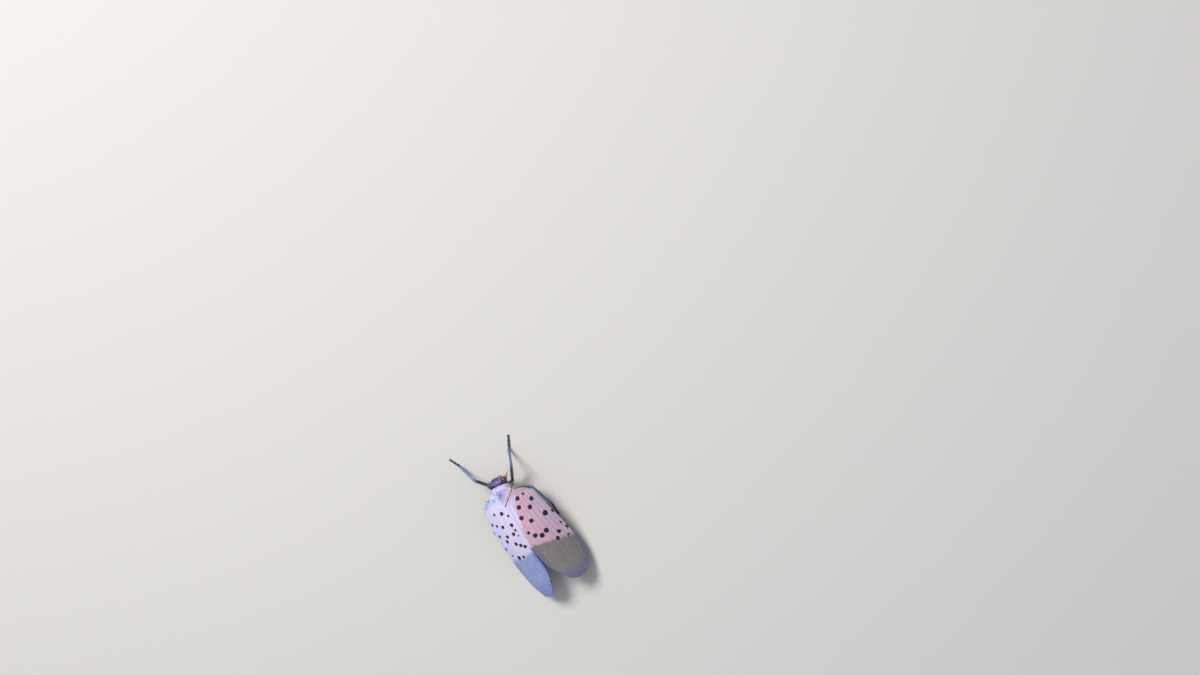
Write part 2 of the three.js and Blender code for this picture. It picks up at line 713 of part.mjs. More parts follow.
for (const [pair, leg] of Object.entries(LEGS))
  for (const [name, side] of SIDES) {
    const stance = leg[name];
    const socket = inWorld(side, leg.socket);
    const hip = inWorld(side, leg.hip);
    const ankle = new THREE.Vector3(...stance.ankle, ANKLE_HEIGHT);
    const knee = kneeOf(hip, ankle, leg.femur, leg.tibia, stance.knee);
    const shortOf = (length, round) => length - round - JOINT_GAP;

    const coxaEnd = shortOf(socket.distanceTo(hip), HIP_ROUND);
    const coxa = limb(socket, hip, [
      ...roundEnd(SOCKET_RADIUS),
      [coxaEnd * 0.6, 0.5, 0.54],
      [coxaEnd, 0.36, 0.38],
    ]);
    const femurEnd = shortOf(leg.femur, KNEE_ROUND);
    const femur = limb(hip, knee, [
      ...roundEnd(HIP_ROUND),
      [femurEnd * 0.3, 0.36, 0.48],
      [femurEnd * 0.65, 0.33, 0.46],
      [femurEnd * 0.9, 0.31, 0.38],
      [femurEnd, 0.3, 0.34],
    ]);
    const tibiaEnd = shortOf(leg.tibia, ANKLE_ROUND);
    const tibia = limb(knee, ankle, [
      ...roundEnd(KNEE_ROUND),
      [tibiaEnd * 0.12, 0.27, 0.3],
      [tibiaEnd * 0.6, 0.26, 0.29],
      [tibiaEnd * 0.93, 0.31, 0.34],
      [tibiaEnd, 0.28, 0.3],
    ]);
    const outward = new THREE.Vector3(side, 0, 0.35);
    const shin = pair === "hind" ? join(tibia, ...shinSpines(knee, ankle, outward)) : tibia;

    place(animal, `${pair}_coxa_${name}`, coxa, MATERIALS.leg);
    place(animal, `${pair}_femur_${name}`, femur, MATERIALS.leg);
    place(animal, `${pair}_tibia_${name}`, shin, MATERIALS.leg);
    place(animal, `${pair}_foot_${name}`, foot(ankle, stance.toe, leg.foot), MATERIALS.leg);
  }

// The origin is under the middle of the whole animal
const box = new THREE.Box3().setFromObject(animal, true);
const middle = box.getCenter(new THREE.Vector3());
animal.position.set(-middle.x, -middle.y, 0);

export default animal;
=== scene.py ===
# %% [markdown]
# # A spotted lanternfly, standing with its wings folded like a roof
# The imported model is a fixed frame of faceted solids. Each piece below is laid over them in
# the same place: a finer surface, worked out as a whole array of points from a formula, with
# a finish made of shader nodes. Lengths are millimetres until a mesh is made, because an
# animal of 25 mm is easier to think about that way; Blender gets metres.

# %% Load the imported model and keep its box
from math import cos, pi, radians, sin, tan

import bpy
import numpy as np
from mathutils import Matrix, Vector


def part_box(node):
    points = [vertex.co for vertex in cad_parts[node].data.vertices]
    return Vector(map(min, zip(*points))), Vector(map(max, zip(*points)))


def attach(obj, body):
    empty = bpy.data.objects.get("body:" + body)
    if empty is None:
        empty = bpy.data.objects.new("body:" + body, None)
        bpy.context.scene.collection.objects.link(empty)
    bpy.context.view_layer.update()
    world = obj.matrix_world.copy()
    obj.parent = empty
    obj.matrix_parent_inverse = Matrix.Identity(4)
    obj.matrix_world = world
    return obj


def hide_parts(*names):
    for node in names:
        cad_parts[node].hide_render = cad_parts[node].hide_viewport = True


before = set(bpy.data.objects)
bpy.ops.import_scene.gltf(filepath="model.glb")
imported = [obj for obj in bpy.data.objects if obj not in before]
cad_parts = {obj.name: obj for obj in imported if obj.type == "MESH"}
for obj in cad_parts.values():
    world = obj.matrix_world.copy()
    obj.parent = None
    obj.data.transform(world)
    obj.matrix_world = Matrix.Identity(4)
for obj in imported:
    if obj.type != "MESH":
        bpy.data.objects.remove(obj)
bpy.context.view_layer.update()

MM = 0.001  # one millimetre in Blender's metres
SIDES = {"left": 1, "right": -1}

# %% [markdown]
# ## The body's own frame
# The animal is easiest to describe in a frame whose origin is the middle of the thorax, with
# the head towards -Y. On the floor that frame is raised and its head tips up a little. The
# eyes are balls, so the middle of each eye's box is its centre, and the pair shows where the
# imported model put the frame.

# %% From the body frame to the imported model
BODY_PITCH = radians(3.5)
BODY_HEIGHT = 5.0
EYE = {"x": 1.5, "y": -3.65, "z": 0.6, "radius": 0.62}


def tipped(points):
    """Body frame to a level one: a turn of BODY_PITCH about X that lifts the head, then up."""
    x, y, z = np.moveaxis(np.asarray(points, float), -1, 0)
    c, s = cos(BODY_PITCH), sin(BODY_PITCH)
    return np.stack([x, y * c + z * s, z * c - y * s + BODY_HEIGHT], -1)


eye_centres = {
    name: np.mean([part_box(f"eye_{name}")[0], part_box(f"eye_{name}")[1]], axis=0) / MM for name in SIDES
}
MIDDLE = np.mean(list(eye_centres.values()), axis=0) - tipped((0, EYE["y"], EYE["z"]))
MIDDLE[2] = 0


def placed(points):
    """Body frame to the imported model's frame, still in millimetres."""
    return tipped(points) + MIDDLE


def skin_at(x, y, z):
    """Coordinates in the body frame, as grids of any matching shapes, to points on a grid."""
    return placed(np.stack(np.broadcast_arrays(x, y, z), -1))


print("body frame moved by, mm:", MIDDLE.round(3))

# %% [markdown]
# ## Camera
# The photograph looks steeply down the animal's back. Two angles were fitted to it: the view
# leans towards the animal's right side, and the body is turned in the picture. A long lens
# far away keeps the proportions, and the animal sits left of and below the middle of the
# frame, so the centre of the view is found from one point whose pixel is known.

# %% Make the camera
IMAGE = (1200, 675)
PIXELS_PER_MM = 5.3
LEAN, TURN = radians(17.2), radians(26.5)
LENS, SENSOR = 100, 36
NECK, NECK_PIXEL = np.array([0, -4.8, 5.7]), (494.5, 477)

ahead = np.array([0, -1.0, 0])
leaning = np.array([-cos(LEAN), 0, -sin(LEAN)])
image_right = -sin(TURN) * ahead + cos(TURN) * leaning
image_up = cos(TURN) * ahead + sin(TURN) * leaning
towards_camera = np.cross(image_right, image_up)
aim = (
    NECK + MIDDLE
    + (IMAGE[0] / 2 - NECK_PIXEL[0]) / PIXELS_PER_MM * image_right
    - (IMAGE[1] / 2 - NECK_PIXEL[1]) / PIXELS_PER_MM * image_up
)
distance = IMAGE[0] / PIXELS_PER_MM * LENS / SENSOR
viewpoint = aim + distance * towards_camera

camera = bpy.data.objects.new("camera", bpy.data.cameras.new("camera"))
camera.data.lens, camera.data.sensor_width = LENS, SENSOR
camera.data.clip_start, camera.data.clip_end = 0.01, 10
bpy.context.scene.collection.objects.link(camera)


def stand(thing, right, up, back, place):
    """Puts a camera or lamp at `place`, in metres, looking along -back with `up` upwards."""
    thing.matrix_world = Matrix(np.vstack([np.stack([right, up, back, place], -1), [0, 0, 0, 1]]).tolist())


def pixels(points):
    """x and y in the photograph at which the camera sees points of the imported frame."""
    ray = points - viewpoint
    per_mm = IMAGE[0] * LENS / SENSOR / -(ray @ towards_camera)
    return IMAGE[0] / 2 + per_mm * (ray @ image_right), IMAGE[1] / 2 - per_mm * (ray @ image_up)


stand(camera, image_right, image_up, towards_camera, viewpoint * MM)
bpy.context.scene.camera = camera
print("camera at, mm:", viewpoint.round(1), "and it sees the neck at", np.round(pixels(NECK + MIDDLE), 1))

# %% [markdown]
# ## From a formula to a mesh
# A surface is a function of two parameters on a grid. The grid closes in one of two ways: a
# tube joins its last column to its first and gets a fan of triangles on each end, and a
# plate is a tube flattened until its top and bottom lie against each other, so its ends are
# zipped shut. Either way the shell is closed, and its enclosed volume tells which way its
# faces point: a negative volume means that they have to be turned round.

# %% Closed shells
class Shell:
    """A closed surface: points in mm, its faces as rows of point numbers, and named values."""

    def __init__(self, points, faces, values):
        self.points = np.asarray(points, float)
        volume = 0.0
        for face in faces:
            a = self.points[face[:, 0]]
            for k in range(1, face.shape[1] - 1):
                b, c = self.points[face[:, k]], self.points[face[:, k + 1]]
                volume += (a * np.cross(b, c)).sum() / 6
        self.faces = faces if volume > 0 else [face[:, ::-1] for face in faces]
        self.values, self.volume = values, abs(volume)

    def __repr__(self):
        return f"{len(self.points)} points round {self.volume:.2f} mm3"


def tube(points, ends="fan", **values):
    """Shell of a grid (rows, columns, 3) whose columns close on themselves."""
    rows, columns = points.shape[:2]
    number = np.arange(rows * columns).reshape(rows, columns)
    ring, after = number[:-1], number[1:]
    quads = np.stack([ring, np.roll(ring, -1, 1), np.roll(after, -1, 1), after], -1).reshape(-1, 4)
    flat = {name: np.broadcast_to(v, (rows, columns)).reshape(-1) for name, v in values.items()}
    body = points.reshape(-1, 3)
    if ends == "zip":
        half = columns // 2
        near, far = np.arange(half), columns - 1 - np.arange(half)
        lids = [
            number[row][np.stack([near[:-1], near[1:], far[1:], far[:-1]], -1)][:, :: 1 - 2 * (row == 0)]
            for row in (0, -1)
        ]
        return Shell(body, [np.concatenate([quads, *lids])], flat)
    hubs = rows * columns + np.arange(2)
    first, last = ((number[row], np.roll(number[row], -1)) for row in (0, -1))
    fans = [
        np.stack([np.full(columns, hub), *rim], -1) for hub, rim in zip(hubs, (first[::-1], last))
    ]
    body = np.concatenate([body, points[0].mean(0)[None], points[-1].mean(0)[None]])
    flat = {n: np.concatenate([v, [v[:columns].mean()], [v[-columns:].mean()]]) for n, v in flat.items()}
    return Shell(body, [quads, np.concatenate(fans)], flat)


def plate(top, bottom, **values):
    """Shell between two grids of the same shape, top and bottom, that share their parameters."""
    both = {n: np.broadcast_to(v, top.shape[:2]) for n, v in values.items()}
    both = {n: np.concatenate([v, v[:, ::-1]], 1) for n, v in both.items()}
    return tube(np.concatenate([top, bottom[:, ::-1]], 1), "zip", **both)


pole = np.arange(0.1, 3, 0.1)[:, None, None] * (0, 0, 1)
square = np.array([(1, 1, 0), (-1, 1, 0), (-1, -1, 0), (1, -1, 0)])
print("a square rod 2 x 2 x 2.8 mm:", tube(pole + square))

# %% [markdown]
# A piece is one Blender object made of one or more shells. Its points stay where the packed
# model has them and the object itself at the origin, because the export keeps only the mesh.
# The values that a shell carries become attributes, which the finish reads by name. Adding
# to a mesh point by point would take minutes, so whole arrays go in at once.

# %% Pieces made of shells
def piece(name, shells, finish, nodes=()):
    """One Blender object from shells, riding on the body and standing for its CAD nodes."""
    starts = np.cumsum([0] + [len(s.points) for s in shells])
    points = np.concatenate([s.points for s in shells])
    faces = [row for s, start in zip(shells, starts) for face in s.faces for row in (face + start).tolist()]
    mesh = bpy.data.meshes.new(name)
    mesh.from_pydata((points * MM).tolist(), [], faces)
    for value in sorted({n for s in shells for n in s.values}):
        column = np.concatenate([s.values.get(value, np.zeros(len(s.points))) for s in shells])
        layer = mesh.attributes.new(value, "FLOAT", "POINT")
        layer.data.foreach_set("value", column.astype(np.float32))
    mesh.polygons.foreach_set("use_smooth", [True] * len(mesh.polygons))
    mesh.materials.append(finish.material)
    mesh.update()
    made = bpy.data.objects.new(name, mesh)
    bpy.context.scene.collection.objects.link(made)
    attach(made, "root")
    if nodes:
        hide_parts(*nodes)
    low, high = points.min(0), points.max(0)
    print(f"{name}: {len(points)} points, {(high - low).round(2)} mm")
    return made


# %% [markdown]
# ## Curves that shapes and finishes share
# Nature has few hard corners, so nearly every form here is a sum of soft steps and soft
# bumps. The rest are tubes along a path, and balls. How well the rings of a ball follow the
# real one shows in its volume, which should be near 4/3 pi.

# %% Soft steps, bumps and tubes along a path
def step(x, low, high):
    """0 below low, 1 above high, and 3f^2 - 2f^3 between them, level at both ends."""
    f = np.clip((x - low) / (high - low), 0, 1)
    return f * f * (3 - 2 * f)


def hump(x, width):
    """A soft bump of height 1 at x = 0: exp(-(x / width)^2)."""
    return np.exp(-((x / width) ** 2))


def unit(v):
    """The vector, or each vector of an array, at length 1."""
    v = np.asarray(v, float)
    return v / np.linalg.norm(v, axis=-1, keepdims=True)


SIDEWAYS, UPWARDS = np.array([1.0, 0, 0]), np.array([0, 0, 1.0])


def turns(count):
    """Angles of a closed ring, without the last one, which is the first again."""
    return np.linspace(0, 2 * pi, count, endpoint=False)


def carried(centres, radii, plane, columns, shape=None):
    """A profile carried along a path: each ring is its centre + across * width * cos + up * height * sin.

    across is the part of the plane's normal that is square to the path, and up is square to
    both, so the rings don't twist. shape, if given, scales each ring by angle.
    """
    along = unit(np.gradient(centres, axis=0))
    across = unit(plane - (along @ plane)[:, None] * along)
    up = np.cross(along, across)
    angle = turns(columns)
    swell = np.ones((len(centres), columns)) if shape is None else shape
    sideways = (radii[:, :1] * np.cos(angle) * swell)[..., None] * across[:, None]
    upwards = (radii[:, 1:] * np.sin(angle) * swell)[..., None] * up[:, None]
    return centres[:, None] + sideways + upwards


def from_line(x):
    """Distance from x to the nearest whole number."""
    return np.abs(x - np.round(x))


def grid(rows, columns):
    """Two parameters over a surface, from 0 to 1: one down its rows, one along its columns."""
    return np.meshgrid(np.linspace(0, 1, rows), np.linspace(0, 1, columns), indexing="ij")


def ball(centre, radii, rows=40, columns=56):
    """An ellipsoid as rings from pole to pole, with its poles along Z."""
    height, angle = np.linspace(0.02, pi - 0.02, rows)[:, None], turns(columns)
    around = np.stack([np.sin(height) * np.cos(angle), np.sin(height) * np.sin(angle)])
    return np.stack([*around, np.broadcast_to(np.cos(height), around[0].shape)], -1) * radii + centre


print("a ball of radius 1 mm:", tube(ball((0, 0, 0), 1)), "and 4/3 pi is", round(4 / 3 * pi, 2))

# %% [markdown]
# ## Finishes in plain arithmetic
# A finish is a tree of nodes, and most of it is sums. Wrapping a socket in a small class lets
# `1 - spot * 0.5` be written as that, and each sign adds its Math node. Everything that isn't
# a sum comes from one method, `node`, which takes the node's type, settings and inputs.
# Patterns read Object coordinates or the values that each shell carries, never the camera.

# %% A socket that does arithmetic
class Value:
    """A number or colour in a finish. Arithmetic on it adds Math nodes to the finish."""

    def __init__(self, finish, socket):
        self.finish, self.socket = finish, socket

    def sum(self, operation, a, b):
        """The Math node of this operation on a and b, each a Value or a plain number."""
        return self.finish.node("ShaderNodeMath", {"operation": operation}, {0: a, 1: b})

    def __add__(self, other):
        return self.sum("ADD", self, other)

    def __sub__(self, other):
        return self.sum("SUBTRACT", self, other)

    def __rsub__(self, other):
        return self.sum("SUBTRACT", other, self)

    def __mul__(self, other):
        return self.sum("MULTIPLY", self, other)

    __radd__ = __add__
    __rmul__ = __mul__


# %% [markdown]
# The finish owns the material's nodes. Its other methods are the few steps that all the
# finishes below are made of: a carried value, clouds, scattered cells, a soft step, colours
# laid over one another, a bump, and at the end the surface itself.

# %% The finish that a socket belongs to
class Finish:
    """A procedural material under construction."""

    def __init__(self, name):
        self.material = bpy.data.materials.new(name)
        self.material.use_nodes = True
        self.tree = self.material.node_tree
        self.tree.nodes.clear()

    def node(self, kind, settings, inputs, output=0):
        """Adds a node with its settings, links or fills its inputs, and gives one of its outputs."""
        made = self.tree.nodes.new(kind)
        for key, value in settings.items():
            setattr(made, key, value)
        for key, value in inputs.items():
            socket = made.inputs[key]
            if isinstance(value, Value):
                self.tree.links.new(value.socket, socket)
            elif isinstance(value, tuple) and socket.type == "RGBA":
                socket.default_value = (*value, 1)
            else:
                socket.default_value = value
        return Value(self, made.outputs[output]) if made.outputs else None

    def carried(self, name):
        """A value that the shells carry, by name."""
        return self.node("ShaderNodeAttribute", {"attribute_name": name}, {}, output=2)

    def wandering(self, name, size, by, detail=3.0):
        """A carried value that noise of this size moves up and down, so its borders wander."""
        return self.carried(name) + (self.noise(size, detail) - 0.5) * by

    def place(self):
        """Object coordinates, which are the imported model's metres."""
        return self.node("ShaderNodeTexCoord", {}, {}, output=3)

    def noise(self, size, detail=3.0, stretch=(1, 1, 1)):
        """Soft random clouds about `size` millimetres across, drawn out along an axis by stretch."""
        where = self.node("ShaderNodeVectorMath", {"operation": "MULTIPLY"}, {0: self.place(), 1: stretch})
        inputs = {"Vector": where, "Scale": 1 / (size * MM), "Detail": detail}
        return self.node("ShaderNodeTexNoise", {}, inputs)

    def rises(self, value, low, high):
        """0 below low, 1 above high, and a soft step between: works with low above high too."""
        if low > high:
            return 1 - self.rises(value, high, low)
        limits = {"Value": value, "From Min": low, "From Max": high}
        return self.node("ShaderNodeMapRange", {"interpolation_type": "SMOOTHSTEP"}, limits)

    def mix(self, factor, a, b):
        """Colour a where factor is 0 and b where it is 1."""
        return self.node("ShaderNodeMix", {"data_type": "RGBA"}, {0: factor, 6: a, 7: b}, output=2)

    def clouded(self, a, b, size, detail=3.0, low=0.4, high=0.7):
        """Colour a with soft clouds of colour b, where noise rises from low to high."""
        return self.mix(self.rises(self.noise(size, detail), low, high), a, b)

    def layered(self, colour, *layers):
        """Lays pairs of a factor and a colour over the first colour, one after another."""
        for factor, over in layers:
            colour = self.mix(factor, colour, over)
        return colour

    def cells(self, size):
        """Distance to the nearest of many scattered points about `size` millimetres apart."""
        return self.node("ShaderNodeTexVoronoi", {}, {"Vector": self.place(), "Scale": 1 / (size * MM)})

    def bump(self, height, depth):
        """A normal that leans as if height, from 0 to 1, stood `depth` millimetres proud."""
        return self.node("ShaderNodeBump", {}, {"Height": height, "Distance": depth * MM})

    def surface(self, colour, roughness, normal=None, **fixed):
        """Ends the tree with the surface shader. fixed sets sockets that are the same all over."""
        inputs = {"Base Color": colour, "Roughness": roughness}
        if normal is not None:
            inputs["Normal"] = normal
        inputs.update({key.replace("_", " "): value for key, value in fixed.items()})
        shader = self.node("ShaderNodeBsdfPrincipled", {}, inputs)
        self.node("ShaderNodeOutputMaterial", {}, {"Surface": shader})
        return self


# %% [markdown]
# ## The wings' place
# Folded wings make a roof over the body. Its section is an arch that is nearly flat at the
# ridge and steep at the edge, so a place on a wing is told by y, along the body, and w, the
# length round the arch from the ridge. Each wing then turns a little about its root: here
# the left one lies in along the body and the right one stands out, so their tips part.

# %% Sizes of the wings, and the roof's formulas
ARCH = {"ridge": radians(12), "edge": radians(58), "span": 8.6}
ARCH_TURN = (ARCH["edge"] - ARCH["ridge"]) / ARCH["span"]  # radians of slope per mm round the arch
PIVOT_X = 2.8
SPLAY = {"left": radians(-7.8), "right": radians(5.2), "both": 0}
SEAM = {"side": {"left": -0.32, "right": 0.1, "both": 0.03}, "end": 7, "gape": radians(8)}
SHIELD = {
    "half": 2.3, "tip_half": 0.12, "front": -1.45, "tip": 0.8,
    "crown": 2.75, "side": 2.25, "keel": 0.13,
}
FOREWING = {"root": -1.15, "length": {"left": 21.3, "right": 20.5}, "tip_from": 0.64, "roundness": 0.38}
HINDWING = {"root": 0.6, "length": {"left": 14.7, "right": 14.1}, "tip_from": 0.66, "roundness": 0.5}
FORE_EDGE = {"start": 3.45, "shoulder": 1.9, "shoulder_length": 0.6, "swell": 3.2, "swell_length": 16}
HIND_EDGE = {"start": 3.5, "swell": 2.9, "swell_length": 9, "tuck": 0.3, "root_tuck": 1.6, "root_length": 4}
RIDGE = {"height": 2.95, "rise": 0.45, "crest": 6, "fall": 0.004}


def arch(w):
    """Across, drop and outward normal at arc length w: the slope grows evenly with w."""
    slope = ARCH["ridge"] + ARCH_TURN * w
    across = (np.sin(slope) - sin(ARCH["ridge"])) / ARCH_TURN
    drop = (cos(ARCH["ridge"]) - np.cos(slope)) / ARCH_TURN
    return across, drop, np.sin(slope), np.cos(slope)


def round_the_arch(across):
    """The arc length w whose distance from the middle of the body is `across`."""
    return (np.arcsin(np.clip(sin(ARCH["ridge"]) + ARCH_TURN * across, -1, 1)) - ARCH["ridge"]) / ARCH_TURN


def ridge_height(y):
    """The roof's ridge rises a little behind the thorax and falls towards the tips."""
    fall = RIDGE["fall"] * np.maximum(0, y - RIDGE["crest"]) ** 2
    return RIDGE["height"] + RIDGE["rise"] * np.sin(pi / 2 * y / RIDGE["crest"]) - fall


def wing_point(name, y, w, lift):
    """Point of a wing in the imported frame, `lift` mm out along the arch's normal."""
    side, splay = SIDES[name], SPLAY[name]
    across, drop, out_x, out_z = arch(w)
    out = across + out_x * lift - PIVOT_X
    back = y - FOREWING["root"]
    x = side * (PIVOT_X + out * cos(splay) + back * sin(splay))
    z = ridge_height(np.clip(y, 0, 20)) - drop + out_z * lift
    return placed(np.stack([x, FOREWING["root"] + back * cos(splay) - out * sin(splay), z], -1))


print("half the roof, across and down, mm:", [round(float(part), 2) for part in arch(ARCH["span"])[:2]])

# %% [markdown]
# A wing's plan is drawn on that roof. Its inner edge runs along the shield and then down the
# middle, its outer edge swells to the widest place, and a straight grid between the two is
# bent round at the tip. Cutting a round tip from a square sheet would leave slivers at the
# cut, so the grid itself is pulled in.

# %% Edges and plan of a wing
def shield_share(y):
    """Share of the way from the shield's front to its tip."""
    return np.clip((y - SHIELD["front"]) / (SHIELD["tip"] - SHIELD["front"]), 0, 1)


def shield_half(y):
    """How far the shield between the wings reaches to each side: it narrows as 1 - f^1.3."""
    return SHIELD["tip_half"] + (SHIELD["half"] - SHIELD["tip_half"]) * (1 - shield_share(y) ** 1.3)


def seam(y, name):
    """w of a wing's inner edge: along the shield, then the middle; behind the seam's end only
    the splayed wing leaves it. The left wing's margin lies a little over the right one's."""
    splay, back = SPLAY[name], y - FOREWING["root"]
    met = np.minimum(back, SEAM["end"] - FOREWING["root"])
    beside = (shield_half(y) - 0.06) * step(-y, -SHIELD["tip"] - 0.3, -SHIELD["tip"] + 0.1)
    middle = SEAM["side"][name] * step(y, SHIELD["tip"] - 0.3, SHIELD["tip"] + 2)
    gape = SEAM["gape"] if splay > 0 else 0
    return round_the_arch(beside + middle - met * tan(splay) + (back - met) * tan(gape))


def forewing_edges(y, name):
    """w of the inner and outer edge: a quick shoulder, then a slow swell to the widest place."""
    back = y - FOREWING["root"]
    shoulder = FORE_EDGE["shoulder"] * (1 - np.exp(-np.maximum(back, 0) / FORE_EDGE["shoulder_length"]))
    swell = FORE_EDGE["swell"] * np.sin(pi / 2 * np.clip(back / FORE_EDGE["swell_length"], 0, 1))
    return seam(y, name), FORE_EDGE["start"] + shoulder + swell


def hindwing_edges(y, name):
    """The same for the hindwing, which is narrower and folded."""
    back = y - HINDWING["root"]
    tuck = HIND_EDGE["tuck"] + HIND_EDGE["root_tuck"] * np.clip(1 - back / HIND_EDGE["root_length"], 0, 1)
    swell = HIND_EDGE["swell"] * np.sin(pi / 2 * np.clip(back / HIND_EDGE["swell_length"], 0, 1))
    return seam(y, name) + tuck, HIND_EDGE["start"] + swell


def wing_plan(wing, edges, name, s, t):
    """(y, w) at s, the share of the length, and t, the share of the width from inside.

    Behind tip_from the straight grid bends into a rounded tip: along and across pull each
    other in as on a disc, along * sqrt(1 - k across^2) and across * sqrt(1 - k along^2). At
    the grid's corner k is 1/2, which makes the two edges run into each other without a kink.
    """
    length = wing["length"][name]
    tip = wing["root"] + length * wing["tip_from"]
    inner, outer = edges(np.minimum(wing["root"] + length * s, tip), name)
    behind = np.maximum(s - wing["tip_from"], 0)
    along, across = behind / (1 - wing["tip_from"]), 2 * t - 1
    k = wing["roundness"] + (0.5 - wing["roundness"]) * step(along * np.abs(across), 0.2, 1)
    lean = (edges(tip + 1, name)[0] - edges(tip, name)[0]) * length * behind
    front = s < wing["tip_from"]
    y = np.where(
        front,
        wing["root"] + length * s,
        tip + length * (1 - wing["tip_from"]) * along * np.sqrt(1 - k * across**2),
    )
    rounded = (inner + outer + lean) / 2 + (outer - inner) / 2 * across * np.sqrt(1 - k * along**2)
    return y, np.where(front, inner + (outer - inner) * t, rounded)


for name in SIDES:
    inner, outer = forewing_edges(FOREWING["root"] + FORE_EDGE["swell_length"], name)
    print(f"{name} forewing at its widest: {outer - inner:.1f} mm")

# %% [markdown]
# ## Veins of the forewing
# The membrane is stiffened by ridges. Eight main veins run the length of the wing, some from
# a shared stem, and cross veins stand between them. The last two fifths are divided into a
# fine net of long cells, which is what makes the tip look grey. A picture could hold all
# this, but a vein that is a soft bump over the distance to its line stays sharp at any size
# and stands up from the mesh. The net is the same over a grid whose rows are out of step.
#
# The spots are kept as they were read, in pixels of the photograph. The camera above tells which point of
# the wing it sees at each pixel, so the spots keep to their places in the picture when the wing's shape is
# changed.

# %% Where veins, cells and spots lie
ROWS, CELLS_ACROSS, PER_CELL = 330, 22, 6
VEINS = [  # share across, share across of the stem, share along where it leaves the stem
    (0.09, 0.09, 0), (0.21, 0.21, 0), (0.33, 0.36, 0.3), (0.45, 0.45, 0),
    (0.57, 0.59, 0.22), (0.69, 0.69, 0), (0.8, 0.82, 0.12), (0.91, 0.91, 0),
]
VEIN_HEIGHT, VEIN_WIDTH = 0.12, 0.11
NET_HEIGHT, NET_WIDTH, CELL_LENGTH = 0.035, 0.05, 0.8
STRUT_HEIGHT, STRUT_WIDTH, STRUT_EVERY = 0.03, 0.06, 1.7  # cross veins in front of the net
EDGE_HEIGHT, TUCK_DEPTH = 0.09, 0.42
NET_FROM = {"left": (0.555, 0), "right": (0.51, 0.12)}  # share along at the seam, and its slant
# Where the painted light along the right wing's ridge lies: a strip painted in the lit lavender.
PAINTED_LIT_STRIP = {"left": (-1, 0), "right": (0.36, -0.62)}  # share across at the root, and its slant
SPOT_CROP = {"corner": (450, 440), "scale": 7}  # the enlarged part of the photograph
SPOT_RADIUS = 0.42
SPOTS = {  # read in that part: x and y of each spot, and its size as a share of the radius
    "left": [
        (362, 517, 1), (312, 525, 0.6), (420, 527, 0.6), (432, 597, 0.9), (370, 612, 0.9),
        (330, 605, 0.7), (482, 618, 0.7), (445, 660, 0.9), (402, 678, 0.9), (490, 662, 0.5),
        (400, 712, 1), (462, 728, 0.9), (495, 738, 0.9), (525, 745, 0.9), (440, 810, 0.6),
        (485, 825, 1), (515, 818, 0.8),
    ],
    "right": [
        (472, 410, 1), (570, 408, 1), (510, 375, 0.6), (482, 472, 1), (560, 468, 1.05),
        (665, 510, 1.3), (720, 488, 0.9), (500, 547, 1), (570, 565, 1), (675, 632, 1.15),
        (762, 638, 1), (820, 600, 0.9), (775, 575, 0.6), (645, 668, 1.1), (755, 685, 0.95),
        (597, 668, 1.05), (548, 650, 0.7), (830, 658, 0.6),
    ],
}
FLANK_SPOTS = {  # given on the steep flank: share along, share across, radius in mm
    "left": [(0.19, 0.88, 0.34), (0.31, 0.82, 0.38), (0.44, 0.87, 0.32)], "right": [],
}
MEMBRANE_LIFT, MEMBRANE_HALF = 0.18, 0.05
print("spots:", {name: len(SPOTS[name] + FLANK_SPOTS[name]) for name in SIDES})


# %% Heights and markings over the wing's grid
def vein_lines(s):
    """Share across of each main vein at s: a vein leaves its stem softly behind the fork."""
    at, stem, fork = np.array(VEINS).T[..., None, None]
    return stem + (at - stem) * np.where(fork > 0, step(s, fork, fork + 0.2), 1)


def outside_spots(along, across, spot_along, spot_across, radius):
    """Distance in mm from each point to the nearest spot's rim, below 0 inside a spot."""
    return (np.hypot(along[..., None] - spot_along, across[..., None] - spot_across) - radius).min(-1)


def spot_places(name, y, w):
    """y, w and radius of each spot. One that was read in the photograph lies where the camera
    sees the wing's grid nearest to its pixel, and one on the flank where its shares say. The
    innermost cells are left out, because the wing's margin would cut a spot there in two."""
    y, w = y[:, PER_CELL:], w[:, PER_CELL:]
    x, down, share = np.array(SPOTS[name]).T
    (left, top), scale = SPOT_CROP["corner"], SPOT_CROP["scale"]
    skin = wing_point(name, y, w, MEMBRANE_LIFT + MEMBRANE_HALF)
    seen_x, seen_down = (grid_of.reshape(-1, 1) for grid_of in pixels(skin))
    nearest = np.hypot(seen_x - left - x / scale, seen_down - top - down / scale).argmin(0)
    flank_s, flank_t, flank_radius = np.array(FLANK_SPOTS[name]).reshape(-1, 3).T
    flank_y, flank_w = wing_plan(FOREWING, forewing_edges, name, flank_s, flank_t)
    pairs = (y.ravel()[nearest], flank_y), (w.ravel()[nearest], flank_w), (SPOT_RADIUS * share, flank_radius)
    return [np.concatenate(pair) for pair in pairs]


